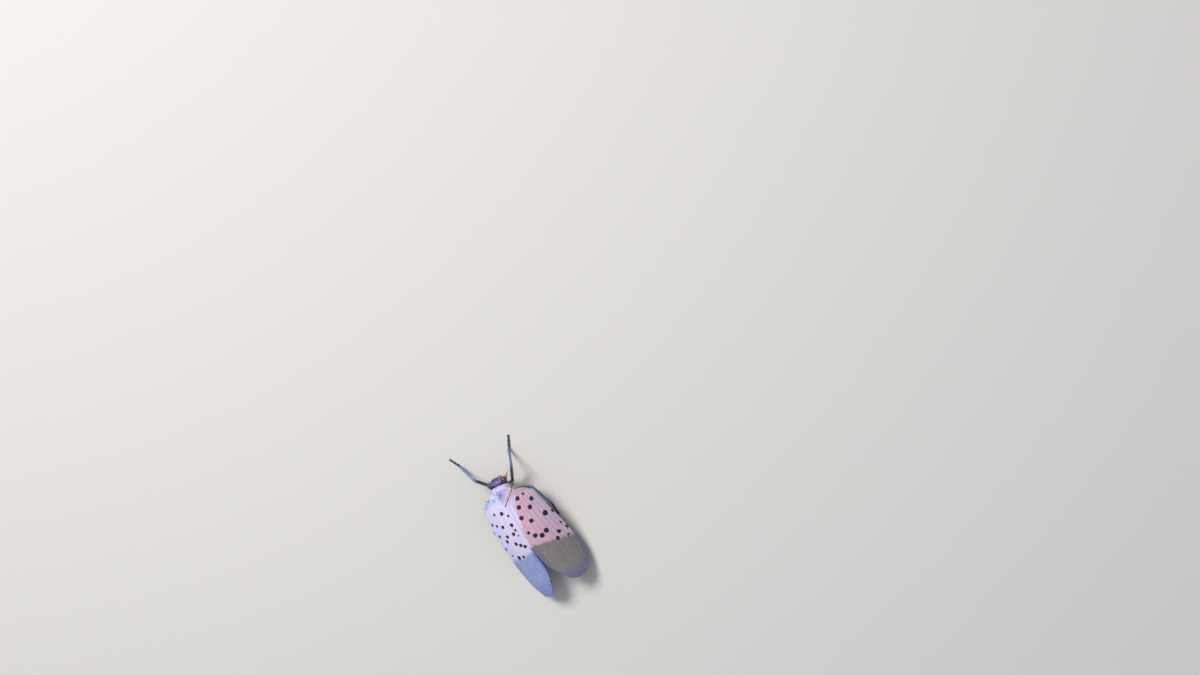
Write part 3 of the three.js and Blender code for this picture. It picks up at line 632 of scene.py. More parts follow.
def forewing_map(name):
    """Grids over the wing: its place, the height of its relief, how far its inner margin is
    tucked down beside the shield, and what its finish reads.

    A vein is a bump over width * |t - line|. A cell's wall is a bump over the distance to the
    nearest whole cell, across or along, and each row of cells starts at a random place.
    """
    rng = np.random.default_rng(5 + SIDES[name])
    s, t = grid(ROWS, CELLS_ACROSS * PER_CELL + 1)
    y, w = wing_plan(FOREWING, forewing_edges, name, s, t)
    length = FOREWING["length"][name]
    inner, outer = forewing_edges(FOREWING["root"] + length * np.minimum(s, FOREWING["tip_from"]), "both")
    width = outer - inner
    start, slant = NET_FROM[name]
    net_from = start + slant * t
    tip = s - net_from
    behind = step(tip, -0.01, 0.03)

    lines = vein_lines(s)
    crest = hump(np.abs(t - lines).min(0) * width, VEIN_WIDTH)
    crest *= step(s, 0.0, 0.04) * (1 - 0.7 * step(s, net_from, 0.95))

    row = np.clip((t * CELLS_ACROSS).astype(int), 0, CELLS_ACROSS - 1)
    along = s * length / CELL_LENGTH + rng.random(CELLS_ACROSS)[row]
    walls = hump(from_line(t * CELLS_ACROSS) * width / CELLS_ACROSS, NET_WIDTH)
    net = np.maximum(walls, hump(from_line(along) * CELL_LENGTH, NET_WIDTH)) * behind
    cell = rng.random((CELLS_ACROSS, 64))[row, np.clip(np.round(along - 0.5).astype(int), 0, 63)]

    strip = (t > lines).sum(0)
    along = s * length / STRUT_EVERY + rng.random(len(VEINS) + 1)[strip]
    struts = hump(from_line(along) * STRUT_EVERY, STRUT_WIDTH) * (1 - behind) * step(s, 0.06, 0.12)

    spot = outside_spots(y, w, *spot_places(name, y, w))
    edge = hump(1 - t, 0.025) + 0.6 * hump(t, 0.012)
    ribs = np.maximum(VEIN_HEIGHT * crest, NET_HEIGHT * net)
    height = np.maximum(ribs, STRUT_HEIGHT * struts) + EDGE_HEIGHT * edge
    tuck = TUCK_DEPTH * hump(t * width, 0.16) * step(-s, -0.2, -0.1)
    # the mark below is above 0 in the strip of painted light along the ridge
    pale, slope = PAINTED_LIT_STRIP[name]
    marks = {
        "spot": spot, "net": net, "vein": np.maximum(crest, 0.5 * struts), "tip": tip, "cell": cell,
        "rim": np.maximum(step(s, 0.82, 1.0), step(np.abs(2 * t - 1), 0.72, 1.0)) * step(tip, 0.0, 0.06),
        "bare": pale + slope * s - t, "root": s, "across": t,
    }
    return y, w, height, tuck, marks


print("veins at half length, share across:", vein_lines(np.full((1, 1), 0.5)).ravel().round(2))

# %% [markdown]
# The membrane itself is far thinner than the solid that stands for it, so it follows the top
# of that solid. The veins stand out on both of its faces, but less underneath.

# %% Shape of a forewing
def forewing_shell(name):
    """Top and bottom of the membrane: both lie at w round the arch, lifted along its normal."""
    y, w, height, tuck, marks = forewing_map(name)
    top = wing_point(name, y, w, MEMBRANE_LIFT + MEMBRANE_HALF + height)
    bottom = wing_point(name, y, w, MEMBRANE_LIFT - MEMBRANE_HALF - 0.4 * height - tuck)
    return plate(top, bottom, **marks)


forewings = {name: forewing_shell(name) for name in SIDES}
print("forewings:", forewings)

# %% [markdown]
# In the photograph the front of the wing is a dusty pink and lavender with round black spots, and the tip is
# slate grey. Both wings are one material in a lit and a shaded copy: the left wing's paler, bluer colours,
# with its bright blue root, are painted light, and the right wing's pinker, darker colours are painted
# shade. On both, the band towards the steep outer edge is a little darker, as painted shade. The spots
# aren't perfect discs: their edge wanders, so a little noise is added to the distance before it is compared
# with the edge. The tip's cells are darker than the net between them, and no two cells are quite alike.

# %% Finish of a forewing
def tinted(colour, share):
    """The colour made lighter or darker: each part times share, and 1 at most."""
    return tuple(min(1.0, share * part) for part in colour)


def forewing_finish(name, pale, warm, outer, root, tip_cell, tip_net, rim, blur):
    """Two stacks of colours, the membrane's and the tip's, and the spots over both."""
    f = Finish(f"forewing_{name}_membrane")
    clouds = f.noise(2.4, 4.0)
    membrane = f.layered(
        f.mix(f.rises(clouds, 0.35, 0.66), pale, warm),
        # the band towards the outer edge, a little darker as painted shade on the steeper flank
        (f.rises(f.carried("across") + (clouds - 0.5) * 0.3, 0.35, 0.8) * 0.75, outer),
        # the painted light along the right wing's ridge
        (f.rises(f.wandering("bare", 0.9, 0.06), -0.02, 0.03), LIT_LAVENDER),
        # the colour at the root, on the left wing a painted highlight in sky blue
        (f.rises(f.carried("root") + (clouds - 0.5) * 0.06, 0.075, 0.0), root),
        (f.rises(f.noise(0.16, 2.0), 0.45, 0.8) * 0.3, tinted(pale, 0.6)),
        (f.carried("vein") * 0.4, tinted(pale, 1.15)),
    )
    dusk = f.layered(
        tip_cell,
        (f.carried("cell") * 0.6, tinted(tip_cell, 1.45)),
        (f.carried("net") * 0.75, tip_net),
        (f.carried("rim") * 0.8, rim),
    )
    tip = f.rises(f.wandering("tip", 1.1, 0.04 + blur), -0.012, blur)
    spot = f.rises(f.wandering("spot", 0.5, 0.2, 2.0), 0.05, -0.04)
    colour = f.layered(membrane, (tip, dusk), (spot, SPOT_BLACK))
    rough = 0.5 + 0.14 * clouds - 0.06 * spot
    normal = f.bump(f.noise(0.09, 2.0), 0.02)
    sheen = {"Sheen_Weight": 0.08, "Sheen_Tint": (0.8, 0.85, 1.0)}
    return f.surface(colour, rough, normal, Specular_IOR_Level=0.4, **sheen)


LIT_LAVENDER, SPOT_BLACK = (0.66, 0.60, 0.83), (0.010, 0.005, 0.018)
# Lit and shaded copies of one wing colour: the left wing's set is painted light, the right wing's set
# painted shade.
FOREWING_LIT_AND_SHADED_COLOURS = {
    "left": {
        "pale": LIT_LAVENDER, "warm": (0.70, 0.58, 0.78), "outer": (0.56, 0.56, 0.84),
        "root": (0.36, 0.50, 0.84), "tip_cell": (0.23, 0.27, 0.50), "tip_net": (0.38, 0.42, 0.68),
        "rim": (0.15, 0.21, 0.50), "blur": 0.05,
    },
    "right": {
        "pale": (0.58, 0.38, 0.49), "warm": (0.63, 0.34, 0.45), "outer": (0.48, 0.38, 0.49),
        "root": (0.52, 0.36, 0.38), "tip_cell": (0.165, 0.150, 0.145), "tip_net": (0.27, 0.255, 0.265),
        "rim": (0.13, 0.12, 0.26), "blur": 0.03,
    },
}
for name in SIDES:
    finish = forewing_finish(name, **FOREWING_LIT_AND_SHADED_COLOURS[name])
    piece(f"forewing_{name}_skin", [forewings[name]], finish, [f"forewing_{name}"])

# %% [markdown]
# ## Hindwings
# The hindwing is folded like a fan under the forewing. Cloth could be simulated into such
# folds, but the real ones follow the veins so strictly that a wave across the wing is truer.

# %% Shape of a hindwing
HINDWING_GRID, HINDWING_HALF, HINDWING_WIDTH = (150, 145), 0.05, 5
FOLDS, FOLD_DEPTH, HINDWING_DEPTH = 6, 0.14, 0.62
HINDWING_SPOTS = [  # share along, share across, radius in mm
    (0.12, 0.55, 0.4), (0.2, 0.25, 0.35), (0.26, 0.75, 0.45), (0.34, 0.45, 0.5), (0.41, 0.85, 0.35),
]


def hindwing_shell(name):
    """A fan: the lift falls and rises as a triangle wave of t, rounded at its crests."""
    s, t = grid(*HINDWING_GRID)
    y, w = wing_plan(HINDWING, hindwing_edges, name, s, t)
    fold = np.arccos(0.96 * np.cos(2 * pi * FOLDS * t)) / pi
    vein = hump(fold - 0.04, 0.07)
    lift = -HINDWING_DEPTH - FOLD_DEPTH * fold * step(s, 0, 0.2) + 0.04 * vein
    scale = np.array([HINDWING["length"][name], HINDWING_WIDTH])
    spot_along, spot_across, radius = np.array(HINDWING_SPOTS).T
    spot = outside_spots(s * scale[0], t * scale[1], spot_along * scale[0], spot_across * scale[1], radius)
    top, bottom = (wing_point(name, y, w, lift + half) for half in (HINDWING_HALF, -HINDWING_HALF))
    return plate(top, bottom, spot=spot, vein=vein, along=s)


hindwings = {name: hindwing_shell(name) for name in SIDES}
print("hindwings:", hindwings)

# %% [markdown]
# Its front part is scarlet with black spots, then comes a white band, and the tip is black.
# Only a sliver shows between the parted forewings and along their edges, but from behind and
# below it glows. The bands are steps over the share along the wing, which the shell carries.

# %% Finish of the hindwings
scarlet = Finish("hindwing_membrane")
band = scarlet.wandering("along", 1.2, 0.08)
dye = scarlet.layered(
    scarlet.clouded((0.50, 0.025, 0.018), (0.36, 0.02, 0.02), 1.5, low=0.35),
    (scarlet.rises(scarlet.carried("spot"), 0.05, -0.04), (0.015, 0.01, 0.015)),
    (scarlet.rises(band, 0.5, 0.54), (0.72, 0.68, 0.66)),
    (scarlet.rises(band, 0.66, 0.70), (0.02, 0.016, 0.022)),
    (scarlet.carried("vein") * 0.3, (0.06, 0.02, 0.02)),
)
scarlet.surface(dye, 0.5 + 0.15 * scarlet.noise(0.4), scarlet.bump(scarlet.noise(0.1), 0.015))
for name in SIDES:
    piece(f"hindwing_{name}_fan", [hindwings[name]], scarlet, [f"hindwing_{name}"])

# %% [markdown]
# ## Thorax, neck and shield
# Seen from above the thorax is a shield with three keels that narrows to a point between the
# wings. One skin covers the neck, the sides and the shield, so no seam shows where the
# solids are parted. Its rings are polar: for each angle the radius is the farthest of three
# forms, the barrel of the thorax, the shield's low dome and the round shoulders, blended
# with a high power mean so that they run into one another.

# %% The three forms of the thorax
THORAX = {"front": -1.45, "rear": 2.6, "half_width": 2.65, "swell": 0.25, "top": 2.05, "bottom": 1.7}
SHOULDER = {"x": 2.7, "y": -0.95, "z": 1.15, "radius": 0.95, "length": 0.5}
RING_CENTRE = 0.35  # height of the point that the rings are drawn round


def exit_of_ellipse(c, s, x0, z0, a, b):
    """Where the ray (c, s) from the ring's centre leaves an ellipse, or 0 if it misses."""
    k = z0 - RING_CENTRE
    p, q = (c / a) ** 2 + (s / b) ** 2, c * x0 / a**2 + s * k / b**2
    root = q * q - p * ((x0 / a) ** 2 + (k / b) ** 2 - 1)
    return np.where(root > 0, (q + np.sqrt(np.maximum(root, 0))) / p, 0)


def exit_of_dome(c, s, half, crown, fall):
    """Where the ray leaves the shield, which holds |x| < half and z < crown - fall * x^2."""
    tiny = 1e-6
    a, k = fall * c * c, np.maximum(crown - RING_CENTRE, 0.02)
    curved = (-s + np.sqrt(s * s + 4 * a * k)) / (2 * np.maximum(a, tiny))
    under = np.where(a > tiny, curved, k / np.maximum(s, tiny))
    side = half / np.maximum(np.abs(c), tiny)
    return np.where(s > 0.02, np.minimum(under, side), 0)


def barrel_radius(y, c, s):
    """A high half ellipse above and a lower one below, blended where they meet at the side.

    The half width is half_width + swell * sin(pi f), and in front it narrows to the neck.
    """
    f = np.clip((y - THORAX["front"]) / (THORAX["rear"] - THORAX["front"]), 0, 1)
    swell = THORAX["swell"] * np.sin(pi * f)
    neck, waist = 0.45 + 0.55 * step(y, -2.3, -1.5), 1 - 0.12 * step(y, 2.4, 3.2)
    wide = (THORAX["half_width"] + swell) * neck * waist
    hunch = 0.75 * step(y, -1.5, -0.7) * step(-y, -1.5, -0.9)  # fills the roof behind its front
    top = (THORAX["top"] - 0.8 * step(f, 0, 1)) * (0.55 + 0.45 * step(y, -2.4, -1.55)) + hunch
    bottom = (THORAX["bottom"] + swell) * (0.6 + 0.4 * step(y, -2.6, -1.6))
    upper, lower = (exit_of_ellipse(c, s, 0, 0, wide, high) for high in (top, bottom))
    level = -RING_CENTRE / np.maximum(wide, 0.1)
    return lower + (upper - lower) * step(s, level - 0.1, level + 0.1)


def dome_radius(y, c, s):
    """The shield: a parabola across, whose crown falls in front along a bowed line."""
    bow = 0.4 * np.clip(1 - (c / 0.8) ** 2, 0, 1)
    fall_in_front = 0.6 * step(-y - bow, 1.2, 1.75) + 1.4 * step(-y, 1.9, 2.3)
    fall_behind = 2.4 * step(y, SHIELD["tip"], SHIELD["tip"] + 0.5)
    crown = SHIELD["crown"] + 0.2 * shield_share(y) ** 2 - fall_in_front - fall_behind
    fall = (SHIELD["crown"] - SHIELD["side"]) / SHIELD["half"] ** 2
    return exit_of_dome(c, s, shield_half(y), crown, fall)


def shoulder_radius(y, c, s):
    """A ball on each side, whose circle at y has the radius sqrt(1 - ((y - y0) / length)^2)."""
    share = np.sqrt(np.clip(1 - ((y - SHOULDER["y"]) / SHOULDER["length"]) ** 2, 0, 1)) + 1e-3
    size = SHOULDER["radius"] * share
    return exit_of_ellipse(np.abs(c), s, SHOULDER["x"], SHOULDER["z"], size, size) * (share > 0.05)


reach = [float(form(np.zeros((1, 1)), 0.0, 1.0)[0, 0]) for form in (barrel_radius, dome_radius)]
print("straight up at y = 0 the barrel and the shield reach, mm:", np.round(reach, 2).tolist())

# %% [markdown]
# The rings stand closest together under the shield, where keels and grooves need them. The
# values that the rings carry say where the shield lies and how far aside a point is.

# %% Shape of the thorax
THORAX_COLUMNS, POWER = 240, 14
STATIONS = ((-3.5, -2.1, 24), (-2.07, 1.0, 76), (1.04, 3.4, 50))  # from y, to y, rings


def thorax_shell():
    """Rings from inside the head, through the collar and the thorax, into the abdomen.

    radius = (barrel^14 + dome^14 + shoulder^14)^(1/14). Keels, grooves and the lines between
    the side plates are bumps over x or y, and under the wings z stays below their roof.
    """
    y = np.concatenate([np.linspace(*station) for station in STATIONS])[:, None]
    c, s = np.cos(turns(THORAX_COLUMNS)), np.sin(turns(THORAX_COLUMNS))
    barrel, dome = barrel_radius(y, c, s), dome_radius(y, c, s)
    radius = (barrel**POWER + dome**POWER + shoulder_radius(y, c, s) ** POWER) ** (1 / POWER)
    x, z = radius * c, RING_CENTRE + radius * s

    h, half, over = shield_share(y), shield_half(y), z > 1.2
    keel = (hump(x, 0.07) + hump(np.abs(x) - 0.66 * half, 0.08)) * (1 - h**3) * step(y, -1.8, -1.5) * over
    groove = hump(np.abs(x) - 0.34 * (1 - h), 0.12) * step(y, -1.7, -1.3) * step(-y, -0.3, 0.3) * over
    z = z + SHIELD["keel"] * keel - 0.05 * groove

    w = round_the_arch(np.minimum(np.abs(x), 8))
    inner = seam(np.maximum(y, FOREWING["root"]), "both")
    roof = ridge_height(np.maximum(y, 0)) - arch(w)[1] - 0.12
    under = step(w, inner - 0.12, inner + 0.06) * step(y, FOREWING["root"] - 0.3, FOREWING["root"] - 0.05)
    z = z + (np.minimum(z, roof) - z) * under

    plates = hump(np.sin(2.6 * (y + 0.25 * z) + 0.6), 0.18) * (z < 1.0) * step(y, -1.5, -1.2)
    x = x * (1 - 0.025 * plates)
    shield = np.maximum(step(dome / np.maximum(barrel, 0.1), 0.97, 1.08) * over, step(z, 1.1, 1.5))
    # left marks the side that gets a painted highlight, and the spot near the left wing's root is a painted
    # cyan highlight
    marks = {
        "shield": shield, "keel": np.clip(keel, 0, 1), "h": h, "seam": plates,
        "aside": np.abs(x) / np.maximum(half, 0.2), "left": step(x, -0.3, 1.4),
        "right": step(-x, -0.1, 0.5), "cyan": hump(np.hypot(x - 1.55, y + 0.95), 0.55),
    }
    return tube(skin_at(x, y, z), **marks)


thorax_skin = thorax_shell()
print("thorax:", thorax_skin)

# %% [markdown]
# The shield is lilac grey with a darker blue patch between its keels. Towards the left wing it is painted
# paler and bluer, a painted highlight, with a painted cyan highlight near that wing's root, and towards the
# right one it is peach. The sides of the thorax are nearly black. Several dull parts share one recipe: a
# colour clouded with a darker one, over fine pits.

# %% Finish of the thorax
def body_finish(name, base, dark, cloud_size=0.7):
    """Base with clouds of a darker tone, and pits that are 1 near scattered points."""
    f = Finish(name)
    return f, f.clouded(base, dark, cloud_size, 4.0), f.rises(f.cells(0.13), 0.5, 0.15)


thorax, tone, pits = body_finish("thorax_shell", (0.050, 0.045, 0.075), (0.018, 0.016, 0.03))
aside = thorax.carried("aside")
between = thorax.rises(aside, 0.6, 0.3) * thorax.rises(thorax.carried("h"), 0.45, 0.1)
lilac = thorax.layered(
    thorax.clouded((0.60, 0.54, 0.78), (0.46, 0.42, 0.70), 0.8, 4.0, 0.38, 0.66),
    (between * thorax.rises(thorax.noise(0.6), 0.35, 0.6) * 0.9, (0.10, 0.10, 0.36)),
    (thorax.rises(aside, 0.45, 0.85) * thorax.carried("right") * 0.7, (0.66, 0.46, 0.46)),
    # painted highlight on the side towards the left wing
    (thorax.rises(aside, 0.1, 0.5) * thorax.carried("left") * 0.85, (0.62, 0.68, 0.90)),
    # a painted cyan highlight near the left wing's root
    (thorax.rises(thorax.wandering("cyan", 0.5, 0.5), 0.45, 0.75) * 0.9, (0.16, 0.38, 0.74)),
    (thorax.carried("keel") * 0.55, (0.60, 0.55, 0.68)),
)
tone = thorax.layered(
    tone, (thorax.carried("shield"), lilac), (thorax.carried("seam") * 0.6, (0.01, 0.01, 0.014))
)
thorax.surface(tone, 0.42 + 0.2 * thorax.noise(0.4), thorax.bump(1 - pits, 0.03), Specular_IOR_Level=0.5)
piece("thorax_skin", [thorax_skin], thorax, ["thorax"])

# %% [markdown]
# ## Pronotum and tegulae
# The pronotum is a collar that bows forwards over the back of the head. Its front and rear
# edges are rolled and a keel runs along its middle. A tegula is the small scale that covers
# each wing's hinge. The collar is a short tube, bent forwards by a formula of x, rather than
# a cut from a ball, because its edges then stay round.

# %% Shapes of the collar and the scales
COLLAR = {
    "front": -2.7, "rear": -1.55, "bow": 0.4, "half": 2.7, "front_half": 1.95,
    "top": 1.62, "rise": 0.75, "bottom": 1.5,
}
TEGULA = {"x": 3.08, "y": -1.5, "z": 1.62, "radii": (0.52, 0.40, 0.2), "tilt": radians(42)}


def collar_shell():
    """Rings across the body that widen as f^0.7 and rise as f from the front, f = 0, to the
    rear; each is x = wide * cos^0.85, z = top * sin^0.9, and y bows forwards as 1 - x^2."""
    f = np.linspace(0, 1, 70)[:, None]
    c, s = np.cos(turns(220)), np.sin(turns(220))
    round_off = np.sin(pi * np.clip(f, 0.04, 0.96)) ** 0.35 - 1
    wide = COLLAR["front_half"] + (COLLAR["half"] - COLLAR["front_half"]) * f**0.7
    top = COLLAR["top"] + COLLAR["rise"] * f + 0.18 * round_off
    bottom = COLLAR["bottom"] + 0.2 * np.sin(pi * f)
    x = (wide + 0.16 * round_off) * np.sign(c) * np.abs(c) ** 0.85
    z = np.where(s > 0, top, -bottom) * np.abs(s) ** 0.9
    upper = step(s, 0.05, 0.5)
    keel = hump(x, 0.07) * upper
    rolled = (hump(f - 0.1, 0.06) + hump(f - 0.93, 0.05)) * upper
    pit = hump(np.abs(x) - 0.75, 0.3) * hump(f - 0.5, 0.2) * upper
    z = z + 0.1 * keel + 0.05 * rolled - 0.09 * pit
    bow = COLLAR["bow"] * np.clip(1 - (x / COLLAR["half"]) ** 2, 0, 1) * step(z, 0, 1.6)
    y = COLLAR["front"] + (COLLAR["rear"] - COLLAR["front"]) * f - bow
    marks = {"keel": np.clip(keel + 0.6 * rolled, 0, 1), "aside": np.abs(x) / COLLAR["half"]}
    # the right end is marked for painted shade
    return tube(skin_at(x, y, z), upper=upper, warm=step(-x, 1.1, 2.3), **marks)


def tegula_shell(side):
    """A flat ellipsoid, turned about Y by the tilt, so that it lies on the slope of its side."""
    c, s = cos(side * TEGULA["tilt"]), sin(side * TEGULA["tilt"])
    points = ball((0, 0, 0), TEGULA["radii"]) @ np.array([[c, 0, -s], [0, 1, 0], [s, 0, c]])
    centre = (side * TEGULA["x"], TEGULA["y"], TEGULA["z"])
    # Both scales take the collar's painted highlight, and the right one its painted shade as well.
    return tube(placed(points + centre), upper=1.0, keel=0.0, aside=0.6, warm=float(side < 0))


collar_skin = collar_shell()
print("collar:", collar_skin)

# %% [markdown]
# On the photographed animal the collar is pale lilac with a blue bloom. Towards its ends it is painted paler
# and bluer, a painted highlight, its right end is painted warmer and browner, a painted shade, and its pits
# are painted darker, a painted shade in them. Below the rolled edge it is as dark as the thorax.

# %% Finish of the collar and the scales
collar, tone, pits = body_finish("collar_shell", (0.58, 0.53, 0.76), (0.20, 0.22, 0.58), 0.9)
tone = collar.layered(
    tone,
    # painted highlight towards the ends
    (collar.rises(collar.carried("aside"), 0.3, 0.8) * 0.75, (0.58, 0.64, 0.88)),
    # painted shade on the right end
    (collar.carried("warm") * 0.85, (0.33, 0.19, 0.20)),
    (collar.carried("keel") * 0.4, (0.56, 0.52, 0.70)),
    # painted shade in the pits
    (pits * 0.4, (0.12, 0.10, 0.22)),
    (1 - collar.carried("upper"), (0.05, 0.045, 0.075)),
)
collar.surface(tone, 0.5 + 0.2 * collar.noise(0.5), collar.bump(1 - pits, 0.03), Sheen_Weight=0.15)
piece("pronotum_collar", [collar_skin], collar, ["pronotum"])
for name, side in SIDES.items():
    piece(f"tegula_{name}_scale", [tegula_shell(side)], collar, [f"tegula_{name}"])

# %% [markdown]
# ## Head
# The face is flat between two ridges and narrows towards the mouth. Below it the clypeus
# bulges, and the beak, a jointed sheath, lies back between the legs. The head is a sphere
# whose y and x are bent by formulas of its own normal, which keeps it one smooth skin.

# %% Shapes of the head and the beak
HEAD = {"y": -3.72, "z": -0.1, "half_width": 1.45, "front": 0.85, "back": 0.65, "half_height": 1.75}
CLYPEUS = {"y": -3.77, "z": -1.75, "radii": (0.72, 0.6, 1.1), "tilt": radians(-14)}
BEAK = {"radius": 0.25, "length": 6.0, "drop": 3.15, "columns": 36, "rings": 90}
BEAK_WIDTHS = {0: 0.8, 0.05: 1.0, 0.3: 1.1, 0.6: 1.0, 0.63: 0.75, 0.66: 1.05, 0.92: 0.8, 1: 0.3}


def head_shell():
    """A sphere of normals nx, ny, nz: x = half_width * nx, less below; y = front * -|ny|^0.7 or
    back * |ny|^0.6; z = half_height * nz. The face's ridges and crown are bumps over nx."""
    nx, ny, nz = np.moveaxis(ball((0, 0, 0), 1, 120, 168), -1, 0)
    low = np.maximum(0, -nz)
    facing = step(-ny, 0.05, 0.4)
    x = HEAD["half_width"] * nx * (1 - 0.42 * low**2)
    ridge = hump(np.abs(nx) - 0.6, 0.07) * (1 - low**2) * facing
    middle = 0.35 * hump(nx, 0.035) * facing
    flat = np.where(ny < 0, -HEAD["front"] * np.abs(ny) ** 0.7, HEAD["back"] * np.abs(ny) ** 0.6)
    y = HEAD["y"] + flat - 0.15 * ridge - 0.06 * middle + 0.35 * low
    brow = 0.16 * hump(nx, 0.3) * np.maximum(0, nz)
    crown = 0.04 * hump(nx, 0.04) * step(nz, 0.5, 0.8)
    z = HEAD["z"] + HEAD["half_height"] * nz - brow + crown
    face = facing * (np.abs(nx) < 0.6)
    return tube(skin_at(x, y, z), ridge=np.clip(ridge + middle, 0, 1), face=face, low=low)


def clypeus_shell():
    """An ellipsoid that leans back and has a keel down its middle."""
    x, y, z = np.moveaxis(ball((0, 0, 0), CLYPEUS["radii"], 60, 80), -1, 0)
    keel = hump(x, 0.08) * (y < 0)
    y = y - 0.07 * keel
    c, s = cos(CLYPEUS["tilt"]), sin(CLYPEUS["tilt"])
    points = skin_at(x, y * c - z * s + CLYPEUS["y"], y * s + z * c + CLYPEUS["z"])
    return tube(points, ridge=keel, face=0.0, low=1.0)


def beak_shell():
    """A straight tube that swells and narrows at its joints, with a groove along its top."""
    start = np.array([0, CLYPEUS["y"] + 0.45, CLYPEUS["z"] - CLYPEUS["radii"][2] + 0.15])
    end = np.array([0, start[1] + BEAK["length"], -BEAK["drop"]])
    f = np.linspace(0, 1, BEAK["rings"])
    width = BEAK["radius"] * np.interp(f, list(BEAK_WIDTHS), list(BEAK_WIDTHS.values()))
    groove = 1 - 0.14 * hump(np.sin(turns(BEAK["columns"])) - 1, 0.12) * np.ones((len(f), 1))
    centres, radii = placed(start + (end - start) * f[:, None]), np.stack([width, 0.92 * width], -1)
    return tube(carried(centres, radii, SIDEWAYS, BEAK["columns"], groove), ridge=0.0, face=0.0, low=1.0)


head_skin, beak_skin = [head_shell(), clypeus_shell()], [beak_shell()]
print("head and clypeus:", head_skin, "beak:", beak_skin)

# %% [markdown]
# The skin of the head is violet grey. Between the ridges the face is almost black, and so is
# everything towards the mouth; the ridges themselves catch the light.

# %% Finish of the head and the beak
head, tone, pits = body_finish("head_shell", (0.22, 0.19, 0.44), (0.11, 0.10, 0.28), 0.6)
tone = head.layered(
    tone,
    (head.carried("face") * 0.8, (0.02, 0.018, 0.03)),
    (head.carried("ridge") * 0.6, (0.34, 0.32, 0.44)),
    (head.rises(head.carried("low"), 0.25, 0.6) * 0.8, (0.03, 0.026, 0.04)),
)
head.surface(tone, 0.4 + 0.2 * head.noise(0.4), head.bump(1 - pits, 0.025), Specular_IOR_Level=0.5)
piece("head_skin", head_skin, head, ["head"])
piece("beak", beak_skin, head, ["rostrum"])

# %% [markdown]
# ## Eyes and feelers
# The eyes are domes of tiny facets, too small for the mesh: scattered cells in the bump give
# them, and a clear coat gives the shine. Dark bands run across the dome.

# %% Eyes
eye = Finish("eye_facets")
facets = eye.cells(0.055)
bands = eye.rises(eye.noise(0.5, 2.0, (1, 1, 2.4)), 0.42, 0.6)
tone = eye.layered(
    (0.10, 0.075, 0.085),
    (bands, (0.035, 0.028, 0.045)),
    (eye.rises(facets, 0.35, 0.7) * 0.5, (0.01, 0.01, 0.012)),
)
eye.surface(tone, 0.22 + 0.1 * bands, eye.bump(1 - facets, 0.02), Coat_Weight=0.5, Coat_Roughness=0.1)
for name, side in SIDES.items():
    dome = ball((side * EYE["x"], EYE["y"], EYE["z"]), EYE["radius"], 60, 84)
    piece(f"eye_{name}_dome", [tube(placed(dome))], eye, [f"eye_{name}"])

# %% [markdown]
# Under each eye sits the feeler: a short stem, a swollen, bright orange knob studded with
# pale pegs, and a bristle as fine as a hair. The pegs are a product of two waves, one round
# the knob and one along it, so that they stand in rows.

# %% Feelers
ANTENNA = {"x": 1.4, "y": -3.82, "z": -0.8, "length": 1.6, "way": (0.7, -0.6, -0.4)}
KNOB = {"radii": (0.36, 0.36, 0.42), "out": 0.12, "grid": (48, 64), "peg_height": 0.05}
STEM = {"radius": 0.24, "back": 0.3, "length": 0.45, "rings": 12, "columns": 28}
BRISTLE = {"from": 0.4, "lift": 0.18, "thick": 0.085, "thin": 0.022, "rings": 40, "columns": 10}


def antenna_shells(side):
    """Knob: an ellipsoid times 1 + pegs. Stem: a tube. Bristle: a tube thinning as (1 - f)^2."""
    base = np.array([side * ANTENNA["x"], ANTENNA["y"], ANTENNA["z"]])
    way = unit(np.array(ANTENNA["way"]) * (side, 1, 1))
    rings, columns = KNOB["grid"]
    angle, height = turns(columns), np.linspace(0, pi, rings)[:, None]
    pegs = np.maximum(0, np.cos(14 * angle) * np.cos(16 * height)) ** 2 * np.sin(height)
    knob = ball((0, 0, 0), KNOB["radii"], rings, columns) * (1 + KNOB["peg_height"] * pegs[..., None])
    up = unit(np.cross(way, UPWARDS))
    knob = knob @ np.stack([up, np.cross(way, up), way]) + base + KNOB["out"] * way

    f = np.linspace(0, 1, STEM["rings"])[:, None]
    stem = placed(base - STEM["back"] * way + STEM["length"] * way * f)
    stem = carried(stem, np.full((len(f), 2), STEM["radius"]), UPWARDS, STEM["columns"])
    f = np.linspace(0, 1, BRISTLE["rings"])[:, None]
    reach = BRISTLE["from"] + (ANTENNA["length"] - BRISTLE["from"]) * f
    bristle = placed(base + way * reach + BRISTLE["lift"] * UPWARDS * f**2)
    radii = np.repeat(BRISTLE["thick"] * (1 - f) ** 2 + BRISTLE["thin"], 2, 1)
    bristle = carried(bristle, radii, UPWARDS, BRISTLE["columns"])
    knob = tube(placed(knob), peg=pegs, dark=0.0)
    return [knob, tube(stem, peg=0.0, dark=0.3), tube(bristle, peg=0.0, dark=1.0)]


feeler = Finish("feeler_orange")
tone = feeler.layered(
    feeler.clouded((0.62, 0.12, 0.015), (0.72, 0.22, 0.03), 0.3, 2.0),
    (feeler.carried("peg") * 0.6, (0.85, 0.55, 0.3)),
    (feeler.carried("dark") * 0.85, (0.03, 0.02, 0.02)),
)
feeler.surface(tone, 0.35 + 0.2 * feeler.noise(0.2), feeler.bump(feeler.noise(0.06), 0.01))
for name, side in SIDES.items():
    piece(f"feeler_{name}", antenna_shells(side), feeler, [f"antenna_{name}"])

# %% [markdown]
# ## Abdomen
# The abdomen is a row of rings, each overlapping the next, yellow on its flanks, with a broad
# black bar across the back and the belly of each ring. At the end a female has a short red
# cap. A ridge runs along each side, where the plates of the back and belly meet. One loft
# makes all the rings: the share of a ring that a station has passed gives its lip.

# %% Shape of the abdomen
ABDOMEN = {"front": 2.75, "rear": 12.8, "half_width": 3.0, "half_height": 1.95, "rings": 7, "lip": 0.1}


